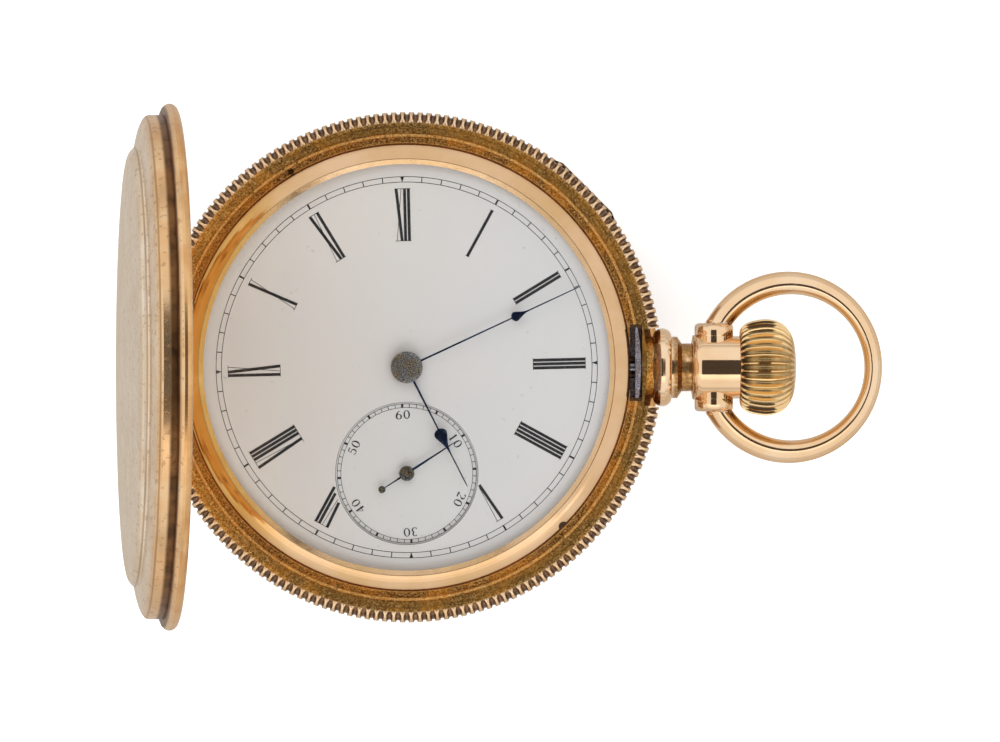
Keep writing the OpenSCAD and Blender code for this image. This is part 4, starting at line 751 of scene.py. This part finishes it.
figures = Paint("dial_figures", dial_top, hole=(0.0, seconds_y, SUNK_RADIUS + 0.2))
twelve = 90 + DIAL_TURN
for r in (TRACK_OUT, TRACK_IN):
    figures.circle(r, 0.065, 240)
for minute in range(60):
    wide, wide_end = 0.1, None
    if minute % 15 == 0:
        wide, wide_end = 0.03, 0.42
    elif minute % 5 == 0:
        wide = 0.2
    figures.stroke(twelve - 6 * minute, (0, TRACK_IN), (0, TRACK_OUT), wide, wide_end)
for hour, text in enumerate(numerals):
    if text:
        roman(figures, text, twelve - 30 * hour)
figures.finish()


DIGIT_FOOT, DIGIT_TALL, DIGIT_HALF = 5.92, 0.9, 0.35
PEN_THIN, PEN_THICK = 0.05, 0.17
# Figures in a box that is 2 wide and 1 tall. Five numbers are a line from x, y to x, y of some width.
# Six are part of an oval: its middle, its two half widths, and where it starts and ends.
digit_parts = {
    "0": [(0, 0.5, 0.8, 0.5, 0, 360)],
    "1": [(0, 0, 0, 1, PEN_THICK), (-0.5, 0, 0.5, 0, PEN_THIN), (-0.45, 0.8, 0, 1, PEN_THIN)],
    "2": [(0, 0.72, 0.75, 0.28, 160, -40), (0.55, 0.55, -0.75, 0.06, PEN_THIN),
          (-0.75, 0.0556, 0.8, 0.0556, 0.136)],
    "3": [(0, 0.75, 0.6, 0.25, 150, -80), (0, 0.27, 0.75, 0.27, 80, -150)],
    "4": [(0.3, 0, 0.3, 1, PEN_THICK), (0.3, 1, -0.8, 0.3, PEN_THIN),
          (-0.8, 0.28, 0.8, 0.28, PEN_THIN), (0, 0, 0.65, 0, PEN_THIN)],
    "5": [(-0.5, 0.9444, 0.7, 0.9444, 0.102), (-0.5, 1, -0.5, 0.5, PEN_THIN),
          (0, 0.31, 0.75, 0.31, 120, -150)],
    "6": [(0, 0.3, 0.75, 0.3, 0, 360), (0.5, 0.3, 1.2, 0.68, 180, 95)],
}


def digit(paint, text, degrees, middle):
    """An old style figure with its foot towards the centre, as a broad upright pen draws it."""
    for part in digit_parts[text]:
        if len(part) == 5:
            points = [(part[0], part[1], part[4]), (part[2], part[3], part[4])]
        else:
            cx, cy, rx, ry, start, end = part
            points = []
            for k in range(11):
                a = math.radians(start + (end - start) * k / 10)
                pen = PEN_THIN + (PEN_THICK - PEN_THIN) * abs(math.cos(a)) ** 1.5
                points.append((cx + rx * math.cos(a), cy + ry * math.sin(a), pen))
        placed = [(middle + x * DIGIT_HALF, DIGIT_FOOT + y * DIGIT_TALL, pen) for x, y, pen in points]
        for (x0, y0, pen0), (x1, y1, pen1) in zip(placed, placed[1:]):
            paint.stroke(degrees, (x0, y0), (x1, y1), pen0, pen1)


SUNK_OUT, SUNK_IN = 7.54, 7.15
sunk = Paint("seconds_figures", sunk_high.z / MM, seconds_y)
sixty = 90 + SUNK_TURN
for r in (SUNK_OUT, SUNK_IN):
    sunk.circle(r, 0.05, 120)
for second in range(60):
    wide = 0.24 if second % 5 == 0 else 0.07
    sunk.stroke(sixty - 6 * second, (0, SUNK_IN), (0, SUNK_OUT), wide)
for tens in range(1, 7):
    digit(sunk, str(tens), sixty - 60 * tens, -0.44)
    digit(sunk, "0", sixty - 60 * tens, 0.42)
sunk.finish()


# Hands. Blued steel, filed to a fine rib: a pear near the tip with its round end to the centre, and
# a thin stem. The two bosses are left grey, and the seconds hand carries a small bob on its tail.
HAND_THICK = 0.12
MINUTE_TURN, HOUR_TURN, SECONDS_TURN = 25.0, -63.0, 33.0
# How far along the pear and how wide it is there, then across and up the section of a hand.
pear = [(-1.0, 0.12), (-0.92, 0.45), (-0.72, 0.8), (-0.4, 1.0), (0.0, 0.9), (0.4, 0.68), (0.9, 0.42),
        (1.5, 0.2), (2.2, 0.1)]
rib = [(-1.0, 0.0), (-0.96, 0.55), (-0.6, 0.88), (0.0, 1.0), (0.6, 0.88), (0.96, 0.55), (1.0, 0.0)]
seconds_edge = [(-3.1, 0.05), (-2.0, 0.07), (-0.7, 0.11), (0.7, 0.14), (4.0, 0.09), (6.1, 0.05),
                (6.4, 0.03)]


def hand_points(length, pear_at, pear_wide, stem, boss):
    """(distance out, half width) along one edge of a hand, from the boss to the tip."""
    edge = [(boss * 0.8, stem * 0.8), (boss, stem * 0.75), (pear_at - pear_wide * 0.75, stem * 0.5)]
    edge += [(pear_at + pear_wide * 0.62 * a, max(pear_wide / 2 * w, stem * 0.5)) for a, w in pear]
    return edge + [(length - 0.6, stem * 0.4), (length, stem * 0.18)]


def filed_hand(edge, z, thick, degrees, y=0.0):
    """A hand with a rib down its middle, closed at both ends."""
    c, s = math.cos(math.radians(degrees)), math.sin(math.radians(degrees))
    rows = []
    for out, half in edge:
        section = [(across * half, z + up * thick) for across, up in rib]
        rows.append([(out * c - side * s, y + out * s + side * c, height) for side, height in section])
    bm = bmesh.new()
    skin(bm, rows)
    return closed(bm, bpy.data.meshes.new("blade"), hand_blue)


def turned(outline, material, x=0.0, y=0.0, steps=72):
    """A closed outline of (radius, height) in millimetres, turned round an upright axis."""
    rings = []
    for k in range(steps):
        c, s = math.cos(math.tau * k / steps), math.sin(math.tau * k / steps)
        rings.append([(x + r * c, y + r * s, height) for r, height in outline])
    bm = bmesh.new()
    skin(bm, rings, loop=True)
    return closed(bm, bpy.data.meshes.new("boss"), material)


def boss(z, bore, r, high, material, x=0.0, y=0.0):
    """A turned ring with a rounded top, pushed on its post."""
    wall = r - bore
    outline = [(bore, z), (r - 0.05 * wall, z), (r, z + 0.1 * high), (r, z + high * 0.5),
               (r - 0.1 * wall, z + high * 0.8), (r - 0.3 * wall, z + high * 0.95),
               (r - 0.5 * wall, z + high), (bore + 0.1 * wall, z + high * 0.95), (bore, z + high * 0.8)]
    return turned(outline, material, x, y)


def hand(name, body, node, *parts):
    """Several solids made one mesh, in place of the hand of the same wheel."""
    bm = bmesh.new()
    materials = []
    for part in parts:
        material = part.materials[0]
        if material not in materials:
            materials.append(material)
        part.polygons.foreach_set("material_index", [materials.index(material)] * len(part.polygons))
        bm.from_mesh(part)
        bpy.data.meshes.remove(part)
    made = new_object(name, closed(bm, bpy.data.meshes.new(name), *materials))
    fit(smooth(made), body, "blued_steel", node)


def pitted_steel(name, grey=("26262A", "6A6A6C", "A7A6A2"), rust=("2B221A", "6F6353", "A99F8E")):
    """Bare steel gone spotty: grey, brown and near black in grains a tenth of a millimetre across."""
    steel = Finish(name)
    spots = steel.noise(8.0, 3.0, 0.7)
    cold, brown = (steel.ramp(spots, *zip((0.36, 0.5, 0.62), tones)) for tones in (grey, rust))
    return steel.done(
        Base_Color=steel.mix(steel.noise(1.2).rise(0.4, 0.6), cold, brown),
        Metallic=0.75,
        Roughness=0.3 + 0.25 * spots,
        Normal=steel.bump(spots, 0.02),
    )


hand_blue = blued_steel("hand_blue", 0.34)
boss_grey = pitted_steel("boss_grey")
boss_dark = pitted_steel("boss_dark", ("121214", "48484A", "8C8C8A"), ("18130E", "4E4638", "8E8674"))
minute_low, hour_low, seconds_low = (
    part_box(name)[0].z / MM for name in ("minute_hand", "hour_hand", "seconds_hand")
)
cap_top = minute_low + 0.33
cap = [(0.72, minute_low + 0.01), (1.62, minute_low + 0.01), (1.7, minute_low + 0.1),
       (1.66, cap_top - 0.06), (1.5, cap_top), (1.1, cap_top + 0.03), (0.02, cap_top + 0.04),
       (0.02, cap_top), (0.72, cap_top)]
minute_edge = hand_points(length=20.8, pear_at=13.2, pear_wide=1.08, stem=0.15, boss=1.5)
minute_blade = filed_hand(minute_edge, minute_low + 0.08, HAND_THICK, MINUTE_TURN)
hand("minute_hand_blued", "minute_hand", "minute_hand", minute_blade, turned(cap, boss_grey))

hour_edge = hand_points(length=14.5, pear_at=8.4, pear_wide=1.44, stem=0.16, boss=1.6)
hour_blade = filed_hand(hour_edge, hour_low + 0.06, HAND_THICK, HOUR_TURN)
hour_boss = boss(hour_low + 0.01, 1.25, 1.72, 0.22, boss_grey)
hand("hour_hand_blued", "hour_hand", "hour_hand", hour_blade, hour_boss)

bob_x = -3.2 * math.cos(math.radians(SECONDS_TURN))
bob_y = seconds_y - 3.2 * math.sin(math.radians(SECONDS_TURN))
seconds_blade = filed_hand(seconds_edge, seconds_low, 0.1, SECONDS_TURN, seconds_y)
seconds_boss = boss(seconds_low, 0.13, 0.82, 0.14, boss_dark, 0.0, seconds_y)
bob = boss(seconds_low, 0.02, 0.39, 0.12, boss_dark, bob_x, bob_y)
hand("seconds_hand_filed", "fourth_wheel", "seconds_hand", seconds_blade, seconds_boss, bob)
dress(["cannon_pinion"], works_steel)


# Bezel and crystal. A polished half round ring of gold snaps on the case and holds a shallow domed
# glass, cut from a blown ball, over the hands.
def clear_glass():
    glass = Finish("clear_glass")
    smear = glass.noise(0.3, 3.0).rise(0.55, 0.9)
    gloss = glass.node("ShaderNodeBsdfGlossy", None, {"Color": "FFFFFF", "Roughness": 0.03})
    through = glass.node("ShaderNodeBsdfTransparent", None, {"Color": (0.99, 0.995, 0.992, 1.0)})
    fresnel = glass.node("ShaderNodeFresnel", None, {"IOR": 1.46})
    inside = glass.node("ShaderNodeNewGeometry", out="Backfacing")
    share = fresnel * (0.75 + smear * 0.2) * (1 - inside)
    return glass.coat(glass.node("ShaderNodeMixShader", None, [share, through, gloss]))


def bezel_finish():
    """Rubbed gold a shade deeper than the case, with a painted amber reflection of the open cover on the
    side under it.
    """
    bezel = Finish("bezel_gold")
    cloud = bezel.noise(0.16, 3.0, 0.6)
    rubbed = bezel.ramp(cloud, (0.3, "D3AC7C"), (0.5, "DAB48A"), (0.72, "E2BE98"))
    amber = bezel.ramp(cloud, (0.3, "C48C44"), (0.55, "CE9E58"), (0.75, "DDB070"))
    # Painted reflection: the side under the open cover is painted amber for the cover's gold mirrored in
    # it.
    under = 1 - bezel.axis("X").rise(-19.0, -10.0)
    return handled(bezel, bezel.mix(under, rubbed, amber), 0.08, "B48450")


dress(["bezel"], bezel_finish())
dress(["crystal"], clear_glass())


# Lock spring, lift spring and setting lever. Straw grained steel: the lock spring's long head stands
# up beside the bezel at three, and the lever's tip looks out of its slot at four.
latch_steel = pitted_steel("latch_steel", ("3E3A44", "8E8894", "C9C4CC"), ("3A3238", "84787C", "B8ACA8"))
dress(["lock_spring", "lift_spring"], latch_steel)
dress(["setting_lever"], grained_steel("lever_steel", "4A4E55", "8A9098"))


# Covers. Both lids and the dust cover are pressed from gold sheet with a rolled bead round the rim.
# The outsides carry faint engine turning, worn almost smooth, and the insides are mirror bright.
def cover_gold(name, centre, way, rim):
    """Cover gold. centre is the middle of the rim, and way . point - rim is the height over the rim."""
    cover = Finish(name)

    def vector(operation, values, out="Value"):
        return cover.node("ShaderNodeVectorMath", {"operation": operation}, values, out)

    reach = vector("SUBTRACT", [cover.place, Vector(centre) * MM], "Vector")
    away = vector("DOT_PRODUCT", [reach, cover.node("ShaderNodeTexCoord", out="Normal")]) / MM
    across = vector("LENGTH", [reach]) / MM
    high = vector("DOT_PRODUCT", [cover.place, way]) / MM - rim
    over = high.rise(0.9, 1.1)
    dome = high.rise(3.3, 3.9)
    outside = over * away.rise(0.0, 0.3)
    # Painted shade: the groove between the bead and the wall is painted dark brown all round.
    groove = high.rise(1.25, 1.5) * (1 - high.rise(2.1, 2.5)) * outside
    rings = (high.rise(3.15, 3.25) - high.rise(3.3, 3.45)) + (high.rise(4.3, 4.4) - high.rise(4.45, 4.6))
    # Painted shade: the back cover's lip, where it shows past the case on the right, is painted dark
    # brown.
    lip = cover.radius().rise(27.3, 27.5) * cover.axis("X").rise(0.0, 5.0)
    worn = cover.noise(0.22, 3.0, 0.6).rise(0.4, 0.65)
    cut = cover.noise(1.6, 2.0, 0.6).rise(0.56, 0.66) * outside
    painted_shade_tone = cover.ramp(cover.noise(0.5, 3.0), (0.35, "4A2E18"), (0.6, "7A5230"))
    wall = cover.mix(worn, "E2B584", "EBC598")
    pale = cover.mix(dome, wall, cover.mix(worn, "E6CFB2", "F0DEC8"))
    bead = cover.mix((1 - over) * 0.85, gold_tones(cover), cover.mix(worn, "D29A5C", "E6B67C"))
    tarnish_and_shade = (groove * 0.95).math("MAXIMUM", lip)
    dull = (cut * 0.34).math("MAXIMUM", rings * outside * 0.6)
    turning = (across * 9.0).math("SINE") * dome * outside * (1 - 0.7 * worn)
    return cover.metal(
        Base_Color=cover.mix(tarnish_and_shade, cover.mix(dull, cover.mix(outside, bead, pale), "8E6A44"), painted_shade_tone),
        Roughness=0.1 + 0.14 * outside + 0.1 * cut + 0.12 * groove + 0.16 * (1 - over),
        Normal=cover.bump(cover.noise(0.8) - 0.3 * cut + 0.25 * turning, 0.012),
    )


COVER_GAP = 0.3
HINGE_X = -26.75
OPENED = math.radians(83.3)
rim_top, rim_foot = band_top + COVER_GAP, band_foot - COVER_GAP
level, upright = math.cos(OPENED), math.sin(OPENED)
lid_middle = (HINGE_X - HINGE_X * level, 0.0, rim_top - HINGE_X * upright)
lid_rim = rim_top * level - HINGE_X * upright
lid_gold = cover_gold("lid_gold", lid_middle, (-upright, 0.0, level), lid_rim)
back_gold = cover_gold("back_gold", (0.0, 0.0, rim_foot), (0.0, 0.0, -1.0), -rim_foot)
dress(["front_cover"], lid_gold)
dress(["back_cover"], back_gold)
dress(["cuvette"], polished_gold("cuvette_gold"))


# Crown. A hollow gold onion pressed over a steel core, fluted with 36 grooves to grip when winding.
# Each rib is a thin crest between two round flutes, with painted shade down the flutes and grime by the
# pendant.
RIBS = 36
FLUTE = 0.86
crown_from = crown_low.x / MM
# Radius of the crests, depth of the flutes and distance from the inner end.
crown_outline = [
    (1.05, 0.0, 2.95), (1.05, 0.0, 0.0), (1.4, 0.0, 0.0), (1.4, 0.0, 1.4), (3.5, 0.0, 1.4),
    (3.5, 0.0, 0.0), (3.97, 0.36, 0.0), (4.16, 0.4, 0.07), (4.38, 0.42, 0.2), (4.6, 0.44, 0.4),
    (4.79, 0.46, 0.68),
    (4.95, 0.47, 1.05), (5.07, 0.48, 1.45), (5.16, 0.48, 1.9), (5.23, 0.48, 2.4), (5.25, 0.48, 2.85),
    (5.22, 0.47, 3.3), (5.13, 0.46, 3.75), (4.97, 0.44, 4.2), (4.75, 0.42, 4.6), (4.46, 0.38, 4.96),
    (4.1, 0.32, 5.27), (3.64, 0.24, 5.55), (3.08, 0.13, 5.78), (2.4, 0.0, 5.94), (1.4, 0.0, 6.06),
    (0.12, 0.0, 6.1),
]


def rib_mesh():
    """One rib with half a flute on each side of it, from the bore round to the end of the crown."""
    rows = []
    for crest, deep, x in crown_outline:
        row = []
        for share in (-1.0, -FLUTE, -0.6, -0.3, 0.0, 0.3, 0.6, FLUTE, 1.0):
            dip = math.sqrt(max(0.0, 1 - (share / FLUTE) ** 2))
            r, a = crest - deep * dip, share * math.pi / RIBS
            row.append((crown_from + x, r * math.cos(a), r * math.sin(a), dip if deep else 0.0))
        rows.append(row)
    return shaded_mesh("rib", rows)


def crown_gold():
    """Pale crests, and olive brown flutes: painted shade along them, with grime and darker painted shade
    by the pendant.
    """
    crown = Finish("crown_gold")
    hollow = crown.node("ShaderNodeAttribute", {"attribute_name": "hollow"}, out="Fac")
    out = crown.axis("X") - crown_from
    # Painted shade: where the flutes meet the pendant they are painted near black.
    pendant_shade = hollow.rise(0.3, 0.8) * (1 - out.rise(0.4, 1.3))
    spotty = crown.noise(1.5, 3.0).rise(0.2, 0.6)
    # Painted shade with some grime: the flutes are olive brown all along, more so by the pendant.
    hollow_dark = hollow.rise(0.4, 0.9) * (0.55 + 0.15 * spotty + 0.3 * (1 - out.rise(0.2, 1.9)))
    tone = crown.ramp(crown.noise(1.1), (0.35, "4E3A12"), (0.65, "94743A"))
    bright = crown.mix(0.5, gold_tones(crown), "EFCB84")
    return crown.done(
        Base_Color=crown.mix(pendant_shade * 0.85, crown.mix(hollow_dark * 0.95, bright, tone), "1E1408"),
        Metallic=1.0 - 0.3 * hollow_dark,
        Roughness=0.1 + 0.18 * hollow_dark,
        Normal=crown.bump(crown.noise(1.5), 0.006),
    )


ribbed_crown = set_round("ribbed_crown", rib_mesh(), crown_gold(), RIBS, axis=(1, 0, 0))
ribbed_crown.data.transform(Matrix.Translation((0, 0, stem_z * MM)))
fit(smooth(ribbed_crown, 50.0), "crown", "gold", "crown")


# Studio. The watch lies on white board under a white tent, with a dark camera hood overhead that
# the polished gold mirrors, and a bright panel beside the hood on the near side.
CAMERA_X, CAMERA_Y, CAMERA_Z = 0.0101, -0.0004, 0.713
BOARD_GAP = 0.00005
BOARD_GLOW, PANEL_GLOW, TENT_GLOW = 0.42, 1.55, 1.05
PANEL_END, PANEL_FADE = 700.0, 200.0
PANEL_NEAR, PANEL_FAR = -400.0, -1000.0


def stage_plane(name, size, at, face, material):
    bpy.ops.mesh.primitive_plane_add(size=1.0)
    plane = bpy.context.object
    plane.name = name
    plane.data.transform(Matrix.Diagonal((size[0], size[1], 1.0, 1.0)))
    plane.data.transform(Vector(face).to_track_quat("Z", "Y").to_matrix().to_4x4())
    plane.data.transform(Matrix.Translation(at))
    plane.data.materials.append(material)
    return plane


def only_mirrored(plane):
    """Keeps a panel out of everything but the mirror images of it."""
    for sight in ("camera", "diffuse", "shadow", "transmission"):
        setattr(plane, "visible_" + sight, False)


def ray(wiring, kind):
    return wiring.node("ShaderNodeLightPath", out="Is " + kind + " Ray")


def board_white():
    """White board. Mirrored close to the watch it shows a painted dim warm shadow of the board under the
    watch.
    """
    board = Finish("board_white")
    tone = board.mix(board.noise(0.02), (0.8, 0.8, 0.8, 1.0), (0.84, 0.84, 0.84, 1.0))
    matt = board.node("ShaderNodeBsdfDiffuse", None, {"Color": tone})
    straight = ray(board, "Camera").math("MAXIMUM", ray(board, "Transmission"))
    glow = board.node("ShaderNodeEmission", None, {"Strength": straight * BOARD_GLOW})
    white = board.node("ShaderNodeAddShader", None, [matt, glow])
    # Painted shadow: in mirror images the board is dim and warm near the watch and white further out.
    far = board.radius().rise(30.0, 260.0)
    mirrored = board.mix(far, (0.66, 0.61, 0.55, 1.0), (0.95, 0.95, 0.95, 1.0))
    image = board.node("ShaderNodeEmission", None, {"Color": mirrored, "Strength": 1.0})
    return board.coat(board.node("ShaderNodeMixShader", None, [ray(board, "Glossy"), white, image]))


def hood_dark():
    hood = Finish("hood_dark")
    tone = hood.mix(hood.noise(0.01), (0.06, 0.05, 0.045, 1.0), (0.085, 0.075, 0.07, 1.0))
    return hood.coat(hood.node("ShaderNodeEmission", None, {"Color": tone, "Strength": 1.0}))


def panel_bright():
    """A lit panel, full beside the hood and fading out at its ends and its far side."""
    panel = Finish("panel_bright")
    ends = 1 - panel.axis("X").math("ABSOLUTE").rise(PANEL_END - PANEL_FADE, PANEL_END)
    depth = panel.axis("Y").rise(PANEL_FAR, PANEL_NEAR)
    none = panel.node("ShaderNodeBsdfTransparent")
    light = {"Color": (1.0, 0.985, 0.96, 1.0), "Strength": PANEL_GLOW}
    glow = panel.node("ShaderNodeEmission", None, light)
    return panel.coat(panel.node("ShaderNodeMixShader", None, [ends * depth, none, glow]))


stage_plane("board", (3.0, 3.0), (0.0, 0.0, cad_low.z - BOARD_GAP), (0, 0, 1), board_white())
only_mirrored(stage_plane("hood", (0.458, 0.75), (CAMERA_X, 0.0, 0.75), (0, 0, -1), hood_dark()))
only_mirrored(stage_plane("panel", (1.4, 0.63), (0.0, -0.69, 0.76), (0, 0, -1), panel_bright()))

# The tent lights a little more strongly than it looks, and its mirror image darkens to the ground.
tent = bpy.data.worlds.new("tent")
bpy.context.scene.world = tent
tent.use_nodes = True
sky = Wiring(tent.node_tree)
seen = ray(sky, "Camera").math("MAXIMUM", ray(sky, "Glossy")).math("MAXIMUM", ray(sky, "Transmission"))
way = sky.node("ShaderNodeTexCoord", out="Generated")
height = sky.node("ShaderNodeSeparateXYZ", None, [way], out="Z")
rising = sky.node(
    "ShaderNodeMapRange",
    {"interpolation_type": "SMOOTHSTEP"},
    {"Value": height, "From Max": 0.3, "To Min": 0.6},
)
strength = sky.node("ShaderNodeMapRange", None, {"Value": seen, "To Min": TENT_GLOW, "To Max": 1.0})
light = {"Color": sky.mix(ray(sky, "Glossy"), "FFFFFF", rising), "Strength": strength}
sky.node("ShaderNodeOutputWorld", None, [sky.node("ShaderNodeBackground", None, light)])


def window(name, at, size, watts):
    """A window that lights the watch but isn't mirrored in the gold."""
    lamp = bpy.data.lights.new(name, "AREA")
    lamp.shape = "RECTANGLE"
    lamp.size, lamp.size_y = size
    lamp.energy = watts
    made = new_object(name, lamp)
    made.location = at
    aim = Vector((0.0, 0.0, 0.01)) - Vector(at)
    made.rotation_euler = aim.to_track_quat("-Z", "Y").to_euler()
    made.visible_glossy = False


window("near_window", (0.1, -0.75, 0.6), (0.8, 0.5), 3.4)
window("far_window", (-0.5, 0.65, 0.7), (0.6, 0.5), 1.6)

# The camera hangs straight over the watch, a little to the right of its middle, on a long lens.
camera = bpy.data.cameras.new("camera")
camera.sensor_width = 36.0
camera.lens = 232.7
eye = new_object("camera", camera)
eye.location = (CAMERA_X, CAMERA_Y, CAMERA_Z)
bpy.context.scene.camera = eye
bpy.context.scene.view_settings.view_transform = "Standard"
